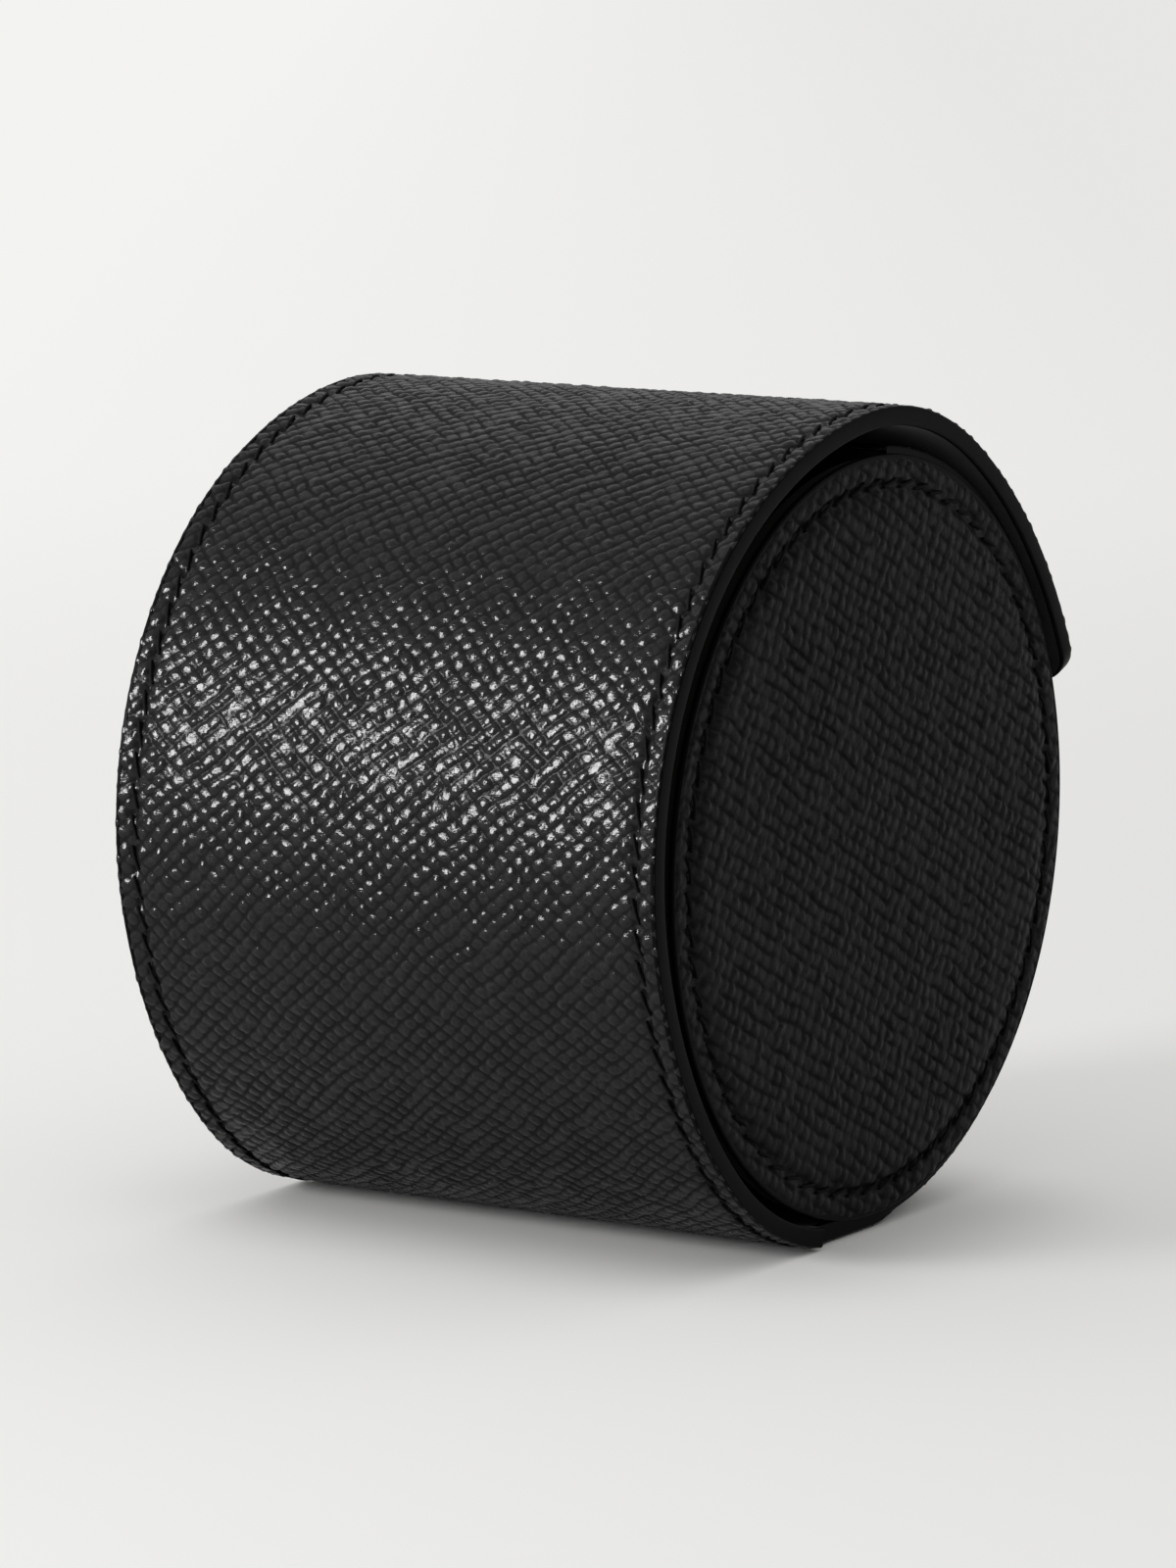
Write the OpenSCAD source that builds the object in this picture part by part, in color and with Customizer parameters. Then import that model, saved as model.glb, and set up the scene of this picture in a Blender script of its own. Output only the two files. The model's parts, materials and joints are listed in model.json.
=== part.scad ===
// Watch roll: a stiff round tray closed by two end discs, a cover that curls round
// its open side, and a cushion that carries one watch.
// X runs along the roll, the mouth of the tray faces -Y and the flap lies on +Y.
// The origin is on the face it rests on, below the centre line of the end discs.

/* [End discs] */
// Radius of the leather face of an end disc
end_r = 39; // [36:0.5:42]
// Thickness of the leather face
end_leather_t = 1.2; // [0.8:0.1:1.6]
// Thickness of the board behind the leather face
end_board_t = 1.5; // [1:0.1:2.5]
// Thickness of the lining on the inside of the disc
end_lining_t = 0.6; // [0.4:0.1:1]
// Distance from the edge of the disc to its stitches
end_stitch_inset = 2.9; // [2:0.1:5]
// Rounding of the outer edge of the leather face
end_round = 0.7; // [0.3:0.1:0.7]

/* [Roll] */
// Length of the roll over its two leather end faces
roll_w = 64.2; // [56:0.2:90]
// Thickness of the outer leather
leather_t = 0.9; // [0.7:0.1:1.4]
// Thickness of the board inside the laminate
board_t = 1; // [0.9:0.1:1.6]
// Thickness of the lining
lining_t = 0.4; // [0.3:0.1:0.8]
// Rounding of the rims of the cover
rim_round = 0.7; // [0.3:0.1:0.7]

/* [Tray wall] */
// How far the wall stands out past the end discs
wall_step = 1.1; // [0.8:0.1:1.6]
// How far the flat foot lies below the round of the wall
foot_drop = 0.5; // [0.2:0.1:0.7]
// Distance from the centre line forward to the crease
crease_y = 11.3; // [8:0.1:14]
// Distance from the centre line back to the end of the flat foot
foot_back_y = 3; // [1:0.5:4]
// Slope that leads from the flat foot up into the round of the wall
heel_slope = 20; // [18:1:30]
// Angle of the wall's top edge above the horizontal
wall_top_a = 86; // [70:1:89]

/* [Cover] */
// Least clearance between the closed cover and the wall
closed_gap = 0.4; // [0.3:0.1:1.5]
// Distance from the rim of the cover to its stitches
cover_stitch_inset = 2.3; // [1.8:0.1:5]
// Slit between two segments of the cover
fold_slit = 0.3; // [0.2:0.05:0.5]
// Distance from the crease to the leather on each side
crease_leather = 0.25; // [0.2:0.05:0.5]
// Distance from the crease to the board on each side
crease_board = 1.5; // [1:0.1:3]
// Distance from the crease to the lining on each side
crease_lining = 0.8; // [0.6:0.1:1.5]

/* [Stitches] */
// Distance from one stitch to the next
stitch_pitch = 3.2; // [2.5:0.1:4.5]
// Length of a stitch that shows
stitch_len = 2.5; // [1.5:0.1:2.5]
// Width of the thread
thread_w = 0.5; // [0.3:0.05:0.6]
// Height of the thread
thread_h = 0.4; // [0.3:0.05:0.4]
// Width of the channel that the stitches lie in
channel_w = 0.9; // [0.7:0.1:1.4]
// Depth of the channel
channel_d = 0.45; // [0.45:0.05:0.6]

/* [Closure] */
// Radius of a flap magnet
magnet_r = 5; // [3:0.5:5]
// Thickness of a flap magnet
magnet_t = 0.65; // [0.4:0.05:0.65]
// Distance from the middle of the roll to each magnet
magnet_x = 16; // [8:1:20]
// Distance from the tip of the flap to the magnets
magnet_from_tip = 10; // [8:0.5:14]
// Thickness of the steel plate in the wall
plate_t = 0.5; // [0.3:0.1:0.8]
// Width of the steel plate round the wall
plate_h = 12; // [8:0.5:16]
// Clearance of the magnets and the plate in their pockets
pocket_gap = 0.1; // [0.05:0.05:0.2]

/* [Cushion] */
// Height of the cushion
cushion_h = 60; // [50:1:62]
// Depth of the cushion from front to back
cushion_d = 48; // [40:1:48]
// Thickness of the cushion's covering
cushion_skin_t = 0.8; // [0.5:0.1:1.5]
// Clearance of the cushion in the tray
cushion_gap = 0.3; // [0.3:0.1:1]

/* [Hidden] */

// Smoothness of the round parts
$fn = 96;
// Overshoot of every cut
cut = 1;
// Least clearance, and least overlap of what is joined
hair = 0.02;
// Angle that one radian of turn makes
radian = 180 / PI;

// The laminate, as depths below the outer face of the leather
laminate_t = leather_t + board_t + lining_t;
leather_span = [0, leather_t];
board_span = [leather_t, leather_t + board_t];
lining_span = [leather_t + board_t, laminate_t];

// The tray wall's section, about the centre of the end discs
wall_r = end_r + wall_step;
wall_in_r = wall_r - laminate_t;
axis_h = wall_r + foot_drop;
heel = [foot_back_y, -axis_h];
// Length of the sloping line from the heel to where it is nearest the centre line
heel_run = -heel * polar(1, heel_slope);
// Angle at which the sloping line has come up to the round of the wall
heel_meets = heel_run - sqrt(pow(heel_run, 2) - heel * heel + wall_r * wall_r);
round_from_a = atan2(heel[1] + heel_meets * sin(heel_slope), heel[0] + heel_meets * cos(heel_slope));
wall_half = roll_w / 2 - end_leather_t;

// The curl of the cover: the angle of each fold line round the end discs, how far it
// stands out past the snug radius, and the bend of the segment that ends there.
curl_r = wall_r + closed_gap + laminate_t;
curl = [
    [-132.3, 0.1, 34.5],
    [-169.7, 0.5, 32.5],
    [158.9, 1.2, 34.5],
    [125, 0.9, 35.5],
    [93.5, 1.2, 27],
    [64.9, 0.8, 36.5],
    [19.7, 0.5, 36.5]];
segments = len(curl);

// Stitch lines
end_stitch_r = end_r - end_stitch_inset;
wall_stitch_x = wall_half - cover_stitch_inset;
cover_stitch_x = roll_w / 2 - cover_stitch_inset;

// Stack of one end disc, from its face inwards
end_board_x = roll_w / 2 - end_leather_t;
end_lining_x = end_board_x - end_board_t;
end_inside_x = end_lining_x - end_lining_t;
// How much smaller the board and the lining are than the leather face
end_board_in = 0.4;
end_lining_in = 0.8;

// The cushion touches the wall along two lines when it is pushed in
cushion_r = cushion_d / 2;
cushion_rise = cushion_h / 2 - cushion_r;
cushion_reach = wall_in_r - cushion_gap - cushion_r;
cushion_y = sqrt(pow(cushion_reach, 2) - pow(cushion_rise, 2));
cushion_half = end_inside_x - cushion_gap;

function polar(r, a) = [r * cos(a), r * sin(a)];

// Drop of a circle of radius r below its tangent, at a distance d
function sag(r, d) = r - sqrt(r * r - d * d);

// Place of fold line k on the outer face, where line 0 is the crease
function fold(k) = k == 0 ? [-crease_y, -axis_h] : polar(curl_r + curl[k - 1][1], curl[k - 1][0]);

// Segment k is an arc from fold line k - 1 to fold line k
function chord(k) = fold(k) - fold(k - 1);
function bend(k) = curl[k - 1][2];
function arc_r(k) = norm(chord(k)) / 2 / sin(bend(k) / 2);
function inward(k) = [chord(k)[1], -chord(k)[0]] / norm(chord(k));
function arc_c(k) = (fold(k) + fold(k - 1)) / 2 + inward(k) * arc_r(k) * cos(bend(k) / 2);
function arc_start(k) = atan2(fold(k - 1)[1] - arc_c(k)[1], fold(k - 1)[0] - arc_c(k)[0]);
function arc_end(k) = arc_start(k) - bend(k);

// Angle that a distance along the outer face of segment k takes
function along(k, distance) = distance / arc_r(k) * radian;

// The magnets sit in the last segment, and the plate in the wall lies behind them
magnet_a = arc_end(segments) + along(segments, magnet_from_tip);
magnet_at = arc_c(segments) + polar(arc_r(segments), magnet_a);
magnet_depth = leather_t + sag(arc_r(segments) - leather_t, magnet_r) + hair;
plate_a = atan2(magnet_at[1], magnet_at[0]);
plate_r = wall_r - leather_t;
plate_half_a = plate_h / 2 / plate_r * radian;
plate_half_x = magnet_x + magnet_r;

// Puts a section drawn in Y and Z about the end discs at its height
module at_axis() {
    translate([0, 0, axis_h]) children();
}

// Turns a section, drawn with its radius along X, about a line along the roll
module revolve(centre, from, to) {
    translate([0, centre[0], centre[1]])
        rotate([90, 0, 90])
            rotate([0, 0, from])
                rotate_extrude(angle = to - from)
                    children();
}

// Section of a layer of the laminate
module layer_section(r, span, half) {
    translate([r - span[1], -half]) square([span[1] - span[0], 2 * half]);
}

// Section of the cover's leather, whose two outer corners are rounded
module rounded_section(r, span, half, round) {
    from = r - span[0] - round;
    layer_section(r, [span[0] + round, span[1]], half);
    translate([from, round - half]) square([round, 2 * (half - round)]);
    intersection() {
        for (side = [-1, 1]) translate([from, side * (half - round)]) circle(round, $fn = 48);
        translate([from, -half]) square([round, 2 * half]);
    }
}

// Two channels for stitches, cut from the outside
module channel_section(r, x) {
    for (side = [-1, 1])
        translate([r - channel_d, side * x - channel_w / 2])
            square([channel_d + cut, channel_w]);
}

// Outline of the tray at a depth below the outer face of its wall: a circle with a foot
module wall_outline(depth) {
    turned = heel + [-depth * tan(heel_slope / 2), depth];
    circle(wall_r - depth);
    polygon([[-2 * crease_y, depth - axis_h], turned, turned + polar(heel_run, heel_slope),
             [0, 0], [-2 * crease_y, 0]]);
}

// One layer of the tray wall, from its top edge round the back to the crease
module wall_layer(span, half, from_crease) {
    far = 2 * wall_r;
    translate([-half, 0, 0])
        rotate([90, 0, 90])
            linear_extrude(2 * half)
                intersection() {
                    difference() {
                        wall_outline(span[0]);
                        wall_outline(span[1]);
                    }
                    polygon([[0, 0], polar(far, wall_top_a), [far, far], [far, -far],
                             [from_crease - crease_y, -far], [from_crease - crease_y, 0]]);
                }
}

// One stitch on a curved face, in a channel
module arc_stitch(centre, r, a, x) {
    half_a = stitch_len / 2 / r * radian;
    revolve(centre, a - half_a, a + half_a)
        translate([r - channel_d, x - thread_w / 2])
            square([thread_h, thread_w]);
}

// A row of stitches on both sides of a curved face
module arc_stitches(centre, r, from, to, x) {
    run = (to - from) / radian * r;
    count = max(1, floor(run / stitch_pitch));
    step = (to - from) / count;
    for (i = [0:count - 1], side = [-1, 1])
        arc_stitch(centre, r, from + (i + 0.5) * step, side * x);
}

// A row of stitches on both sides of the flat foot
module foot_stitches() {
    from = crease_leather - crease_y;
    run = foot_back_y - from;
    count = max(1, floor(run / stitch_pitch));
    step = run / count;
    for (i = [0:count - 1], side = [-1, 1])
        translate([side * wall_stitch_x - thread_w / 2,
                   from + (i + 0.5) * step - stitch_len / 2,
                   channel_d - thread_h - axis_h])
            cube([thread_w, stitch_len, thread_h]);
}

// Cut of one stitch channel round the tray wall
module wall_channel() {
    translate([-channel_w / 2, 0, 0])
        rotate([90, 0, 90])
            linear_extrude(channel_w)
                difference() {
                    wall_outline(-cut);
                    wall_outline(channel_d);
                }
}

// Outer leather of the tray wall, with channels along its two ends
module tray_leather() {
    color([0.05, 0.05, 0.055])
        at_axis()
            difference() {
                wall_layer(leather_span, wall_half, crease_leather);
                for (side = [-1, 1])
                    translate([side * wall_stitch_x, 0, 0])
                        wall_channel();
            }
}

// Board that stiffens the tray wall, with a pocket for the steel plate
module tray_board() {
    pocket_a = pocket_gap / plate_r * radian;
    color([0.45, 0.38, 0.3])
        at_axis()
            difference() {
                wall_layer(board_span, wall_half, crease_board);
                revolve([0, 0], plate_a - plate_half_a - pocket_a, plate_a + plate_half_a + pocket_a)
                    layer_section(wall_r, board_span + [-hair, hair], plate_half_x + pocket_gap);
            }
}

// Lining of the tray wall
module tray_lining() {
    color([0.16, 0.16, 0.17])
        at_axis() wall_layer(lining_span, wall_half, crease_lining);
}

// Stitches along the two ends of the tray wall
module tray_thread() {
    color([0.02, 0.02, 0.02])
        at_axis() {
            foot_stitches();
            arc_stitches([0, 0], wall_r, round_from_a, wall_top_a, wall_stitch_x);
        }
}

// Steel plate in the wall that the magnets hold on to
module keeper_plate() {
    color("silver")
        at_axis()
            revolve([0, 0], plate_a - plate_half_a, plate_a + plate_half_a)
                layer_section(plate_r, [0, plate_t], plate_half_x);
}

// Puts a piece that is drawn for the right end on one of the two ends
module on_end(side) {
    mirror([side < 0 ? 1 : 0, 0, 0]) at_axis() children();
}

// Leather face of an end disc, with a round channel for its stitches
module end_leather(side) {
    color([0.05, 0.05, 0.055])
        on_end(side)
            translate([end_board_x, 0, 0])
                rotate([90, 0, 90])
                    rotate_extrude()
                        difference() {
                            union() {
                                square([end_r - end_round, end_leather_t]);
                                square([end_r, end_leather_t - end_round]);
                                translate([end_r - end_round, end_leather_t - end_round])
                                    intersection() {
                                        circle(end_round, $fn = 48);
                                        square(end_round);
                                    }
                            }
                            translate([end_stitch_r - channel_w / 2, end_leather_t - channel_d])
                                square([channel_w, channel_d + cut]);
                        }
}

// Disc inside the leather face, cut back where the tray wall passes
module end_layer(side, x, t, r) {
    on_end(side)
        difference() {
            translate([x - t, 0, 0]) rotate([0, 90, 0]) cylinder(h = t, r = r);
            wall_layer([-cut, laminate_t + pocket_gap], roll_w, 0);
        }
}

// Board of an end disc
module end_board(side) {
    color([0.45, 0.38, 0.3]) end_layer(side, end_board_x, end_board_t, end_r - end_board_in);
}

// Lining on the inside of an end disc
module end_lining(side) {
    color([0.16, 0.16, 0.17]) end_layer(side, end_lining_x, end_lining_t, end_r - end_lining_in);
}

// Ring of stitches round an end disc
module end_thread(side) {
    count = floor(2 * PI * end_stitch_r / stitch_pitch);
    half_a = stitch_len / 2 / end_stitch_r * radian;
    color([0.02, 0.02, 0.02])
        on_end(side)
            for (i = [0:count - 1])
                revolve([0, 0], i * 360 / count - half_a, i * 360 / count + half_a)
                    translate([end_stitch_r - thread_w / 2, roll_w / 2 - channel_d])
                        square([thread_w, thread_h]);
}

// Angles between which a layer of segment k runs, short of the folds at its two ends
function layer_start(k, crease) = arc_start(k) - along(k, k == 1 ? crease : fold_slit / 2);
function layer_end(k) = arc_end(k) + (k == segments ? 0 : along(k, fold_slit / 2));

// Outer leather of segment k of the cover
module cover_leather(k) {
    color([0.05, 0.05, 0.055])
        at_axis()
            revolve(arc_c(k), layer_end(k), layer_start(k, crease_leather))
                difference() {
                    rounded_section(arc_r(k), leather_span, roll_w / 2, rim_round);
                    channel_section(arc_r(k), cover_stitch_x);
                }
}

// Board of segment k, where the last one has pockets for the magnets
module cover_board(k) {
    color([0.45, 0.38, 0.3])
        at_axis()
            difference() {
                revolve(arc_c(k), layer_end(k), layer_start(k, crease_board))
                    layer_section(arc_r(k), board_span, roll_w / 2);
                if (k == segments) magnet_pair(magnet_r + pocket_gap, [0, laminate_t]);
            }
}

// Lining of segment k
module cover_lining(k) {
    color([0.16, 0.16, 0.17])
        at_axis()
            revolve(arc_c(k), layer_end(k), layer_start(k, crease_lining))
                layer_section(arc_r(k), lining_span, roll_w / 2);
}

// Stitches along both rims of segment k
module cover_thread(k) {
    color([0.02, 0.02, 0.02])
        at_axis()
            arc_stitches(arc_c(k), arc_r(k), layer_end(k), layer_start(k, crease_leather), cover_stitch_x);
}

// Two round discs in the flap, between two depths below its outer face
module magnet_pair(r, span) {
    for (side = [-1, 1])
        translate([side * magnet_x, magnet_at[0], magnet_at[1]])
            rotate([magnet_a - 90, 0, 0])
                translate([0, 0, -span[1]])
                    cylinder(h = span[1] - span[0], r = r);
}

// Magnets in the flap
module flap_magnets() {
    color("silver") at_axis() magnet_pair(magnet_r, [magnet_depth, magnet_depth + magnet_t]);
}

// Oval section of the cushion, drawn with its depth along X and its height along Y
module cushion_section(skin) {
    r = cushion_r - skin;
    for (side = [-1, 1]) translate([cushion_y, side * cushion_rise]) circle(r);
    translate([cushion_y - r, -cushion_rise]) square([2 * r, 2 * cushion_rise]);
}

// Runs the cushion's section along the roll
module cushion_run(from, to) {
    at_axis()
        translate([from, 0, 0])
            rotate([90, 0, 90])
                linear_extrude(to - from)
                    children();
}

// Foam core of the cushion
module cushion_foam() {
    color([0.8, 0.78, 0.7])
        cushion_run(cushion_skin_t - cushion_half, cushion_half - cushion_skin_t)
            cushion_section(cushion_skin_t);
}

// Covering round the foam core
module cushion_sleeve() {
    color([0.16, 0.16, 0.17])
        cushion_run(cushion_skin_t - cushion_half, cushion_half - cushion_skin_t)
            difference() {
                cushion_section(0);
                cushion_section(cushion_skin_t);
            }
}

// End panel of the cushion
module cushion_end(side) {
    color([0.16, 0.16, 0.17])
        mirror([side < 0 ? 1 : 0, 0, 0])
            cushion_run(cushion_half - cushion_skin_t, cushion_half)
                cushion_section(0);
}

tray_leather();
tray_board();
tray_lining();
tray_thread();
keeper_plate();
end_leather(-1);  // left_end_leather
end_board(-1);  // left_end_board
end_lining(-1);  // left_end_lining
end_thread(-1);  // left_end_thread
end_leather(1);  // right_end_leather
end_board(1);  // right_end_board
end_lining(1);  // right_end_lining
end_thread(1);  // right_end_thread
for (k = [1:segments]) {
    cover_leather(k);
    cover_board(k);
    cover_lining(k);
    cover_thread(k);
}
flap_magnets();
cushion_foam();
cushion_sleeve();
cushion_end(-1);  // cushion_left_end
cushion_end(1);  // cushion_right_end
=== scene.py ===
"""Looks of a round leather watch roll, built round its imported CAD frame.

The outer leather is one strip that runs from the top of the tray wall, round the back, over the
flat foot and the crease, and on round the curl of the cover to the tip of the flap. Distances
along that strip are called s, with s = 0 at the crease, s < 0 on the tray and s > 0 on the cover.
X runs across the strip, along the roll. Every length is in metres.
"""

import json
import logging
import math
from dataclasses import dataclass, field
from enum import Enum

import bpy
import numpy as np
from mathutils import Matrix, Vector


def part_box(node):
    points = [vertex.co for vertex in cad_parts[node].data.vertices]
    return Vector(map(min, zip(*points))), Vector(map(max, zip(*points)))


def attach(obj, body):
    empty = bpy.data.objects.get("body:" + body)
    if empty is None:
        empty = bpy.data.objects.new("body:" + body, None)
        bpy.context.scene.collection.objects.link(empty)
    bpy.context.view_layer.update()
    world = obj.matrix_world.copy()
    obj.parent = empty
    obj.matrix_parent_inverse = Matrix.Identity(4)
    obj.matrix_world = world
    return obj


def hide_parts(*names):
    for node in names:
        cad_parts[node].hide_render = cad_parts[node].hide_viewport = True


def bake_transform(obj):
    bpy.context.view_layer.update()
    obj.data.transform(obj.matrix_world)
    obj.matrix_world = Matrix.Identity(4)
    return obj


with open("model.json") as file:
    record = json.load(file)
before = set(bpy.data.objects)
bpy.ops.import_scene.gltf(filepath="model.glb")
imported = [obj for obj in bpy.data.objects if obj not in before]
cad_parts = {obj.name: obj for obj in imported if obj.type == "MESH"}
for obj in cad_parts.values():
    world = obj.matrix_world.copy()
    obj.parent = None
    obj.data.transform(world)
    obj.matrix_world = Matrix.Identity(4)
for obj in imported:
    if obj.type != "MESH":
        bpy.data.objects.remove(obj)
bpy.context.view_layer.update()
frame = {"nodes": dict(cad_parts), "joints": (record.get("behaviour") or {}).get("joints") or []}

LOG = logging.getLogger("watch_roll")
MM = 0.001
UV_NAME = "along"
CREST_NAME = "crest"
AXIS_H = 40.6 * MM
ROLL_HALF = 32.1 * MM
WALL_HALF = 30.9 * MM
EDGE_ROUND = 0.25 * MM
EDGE_POINTS = 6
SHARP_ANGLE = math.radians(55)
TINY = 1e-6
LAYERS = ("leather", "board", "lining", "thread")
Feed = bpy.types.NodeSocket | float | tuple
Values = dict[str | int, Feed]


class Side(Enum):
    """The two ends of the roll, by the sign of X."""

    LEFT = -1
    RIGHT = 1

    @property
    def label(self) -> str:
        """Name of the end as the CAD nodes spell it."""
        return self.name.lower()


# Noise and grain


@dataclass(frozen=True)
class Noise:
    """Smooth value noise on a repeating table of seeded random numbers."""

    seed: int
    table_size: int = 256

    def at(self, u: np.ndarray, v: np.ndarray, cell: float) -> np.ndarray:
        """Noise between -1 and 1.

        Args:
            u: first coordinate.
            v: second coordinate.
            cell: distance between the table's points, in the unit of the coordinates.

        Returns:
            One value for each point.
        """
        table = np.random.default_rng(self.seed).uniform(-1, 1, (self.table_size, self.table_size))
        a, b = np.asarray(u) / cell, np.asarray(v) / cell
        ia, ib = np.floor(a).astype(int), np.floor(b).astype(int)
        fa, fb = a - ia, b - ib
        wa, wb = fa * fa * (3 - 2 * fa), fb * fb * (3 - 2 * fb)
        ia, ib = ia % self.table_size, ib % self.table_size
        ja, jb = (ia + 1) % self.table_size, (ib + 1) % self.table_size
        low = table[ia, ib] * (1 - wa) + table[ja, ib] * wa
        high = table[ia, jb] * (1 - wa) + table[ja, jb] * wa
        return low * (1 - wb) + high * wb


@dataclass(frozen=True)
class CrossGrain:
    """Pressed cross grain: two families of slanting grooves that leave rows of small pebbles.

    The angles are those of the grooves, measured from the v axis towards the u axis. A field that
    ends in vary or cell says how much something varies over the leather, and over what distance.
    """

    pitch: float = 1.43 * MM
    depth: float = 0.25 * MM
    first_angle: float = 40.0
    second_angle: float = 140.0
    groove_share: float = 0.44
    dome: float = 0.3
    first_depth: float = 1.0
    first_even: float = 0.85
    first_vary: float = 0.15
    first_cell: float = 2.1 * MM
    second_depth: float = 1.0
    second_even: float = 0.8
    second_vary: float = 0.38
    second_cell: float = 1.3 * MM
    bow_vary: float = 0.22
    bow_cell: float = 5 * MM
    kink_vary: float = 0.12
    kink_cell: float = 1.7 * MM
    tilt: float = 0.11
    lift: float = 0.3
    lift_shift: int = 99
    dent: float = 0.1
    dent_cell: float = 0.5 * MM
    seed: int = 5

    @property
    def sink(self) -> float:
        """Depth below the plain face at which the crests lie on the whole."""
        return self.tilt * self.pitch / 2

    def across(self, u: np.ndarray, v: np.ndarray, angle: float, seed: int) -> np.ndarray:
        """Distance across one family of wavy grooves.

        Args:
            u: distance along the leather, in metres.
            v: distance across the leather, in metres.
            angle: direction of the grooves, in degrees.
            seed: seed of their waves.

        Returns:
            The distance in pitches, with a groove at each whole number.
        """
        turn = math.radians(angle)
        wave = Noise(seed)
        even = (u * math.cos(turn) - v * math.sin(turn)) / self.pitch
        bowed = even + self.bow_vary * wave.at(u, v, self.bow_cell)
        return bowed + self.kink_vary * wave.at(v, u, self.kink_cell)

    def ridge(self, across: np.ndarray, share: np.ndarray) -> np.ndarray:
        """Height between two grooves.

        Args:
            across: distance across the grooves, in pitches.
            share: depth of the groove at each point, as a share of the full depth.

        Returns:
            The height, from 1 on the ridge down to 1 - share in the groove.
        """
        away = np.abs(across - np.round(across)) / 0.5
        groove = np.exp(-((away / self.groove_share) ** 2))
        return 1 - share * (groove * (1 - self.dome) + (1 - away) ** 2 * self.dome)

    def relief(self, u: np.ndarray, v: np.ndarray) -> tuple[np.ndarray, np.ndarray]:
        """Height of the grain.

        Args:
            u: distance along the leather, in metres.
            v: distance across the leather, in metres.

        Returns:
            The height above the plain face, in metres, and the crest value between 0 and 1.
        """
        patchy = Noise(self.seed + 2)
        a = self.across(u, v, self.first_angle, self.seed)
        b = self.across(u, v, self.second_angle, self.seed + 1)
        first = self.first_depth * (self.first_even + self.first_vary * patchy.at(u, v, self.first_cell))
        second = self.second_depth * (self.second_even + self.second_vary * patchy.at(v, u, self.second_cell))
        crest = self.ridge(a, first) * self.ridge(b, second)
        cell_a, cell_b = np.floor(a), np.floor(b)
        lean = Noise(self.seed + 3)
        lean_a = lean.at(cell_a, cell_b, 1.0) * (a - cell_a - 0.5)
        lean_b = lean.at(cell_b, cell_a, 1.0) * (b - cell_b - 0.5)
        lift = self.lift * lean.at(cell_a + self.lift_shift, cell_b, 1.0)
        pebble = crest**2 * (self.tilt * self.pitch * (lean_a + lean_b) + self.depth * (lift - self.lift))
        dent = self.dent * self.depth * (patchy.at(u, v, self.dent_cell) - 1)
        return self.depth * (crest - 1) + pebble + dent - self.sink, crest


# Meshes


def make_mesh(name: str, points: np.ndarray, faces: list[np.ndarray]) -> bpy.types.Object:
    """Makes a mesh object with smooth faces and sharp edges where two faces meet steeply.

    Args:
        name: name of the piece.
        points: one row of three coordinates for each vertex.
        faces: arrays of vertex numbers, one row for each face.

    Returns:
        The new object, linked to the scene.
    """
    mesh = bpy.data.meshes.new(name)
    loops = np.concatenate([f.ravel() for f in faces])
    sizes = np.concatenate([np.full(len(f), f.shape[1]) for f in faces])
    starts = np.concatenate([[0], np.cumsum(sizes)[:-1]])
    mesh.vertices.add(len(points))
    mesh.vertices.foreach_set("co", np.asarray(points, np.float32).ravel())
    mesh.loops.add(len(loops))
    mesh.loops.foreach_set("vertex_index", loops.astype(np.int32))
    mesh.polygons.add(len(sizes))
    mesh.polygons.foreach_set("loop_start", starts.astype(np.int32))
    mesh.polygons.foreach_set("loop_total", sizes.astype(np.int32))
    mesh.polygons.foreach_set("use_smooth", np.ones(len(sizes), bool))
    mesh.update(calc_edges=True)
    mesh.validate()
    mesh.set_sharp_from_angle(angle=SHARP_ANGLE)
    obj = bpy.data.objects.new(name, mesh)
    bpy.context.scene.collection.objects.link(obj)
    return obj


def add_uv(obj: bpy.types.Object, uv: np.ndarray) -> None:
    """Stores surface coordinates as the piece's UV map.

    Args:
        obj: the piece.
        uv: one pair of coordinates for each vertex.
    """
    layer = obj.data.uv_layers.new(name=UV_NAME)
    corner = np.zeros(len(obj.data.loops), np.int32)
    obj.data.loops.foreach_get("vertex_index", corner)
    layer.data.foreach_set("uv", np.asarray(uv, np.float32)[corner].ravel())


def add_crest(obj: bpy.types.Object, crest: np.ndarray) -> None:
    """Stores how high the grain stands at each vertex, from 0 to 1."""
    values = obj.data.attributes.new(CREST_NAME, "FLOAT", "POINT")
    values.data.foreach_set("value", np.asarray(crest, np.float32))


def grid_faces(rows: int, columns: int, first: int = 0) -> np.ndarray:
    """Quads of a grid of points stored row by row.

    Args:
        rows: number of rows, which follow each other along S.
        columns: number of points in a row, which runs along X.
        first: number of the grid's first point.

    Returns:
        One row of four vertex numbers for each quad, wound so that X x S points outwards.
    """
    at = first + np.arange(rows * columns).reshape(rows, columns)
    corners = [at[:-1, :-1], at[:-1, 1:], at[1:, 1:], at[1:, :-1]]
    return np.stack([c.ravel() for c in corners], axis=1)


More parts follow.
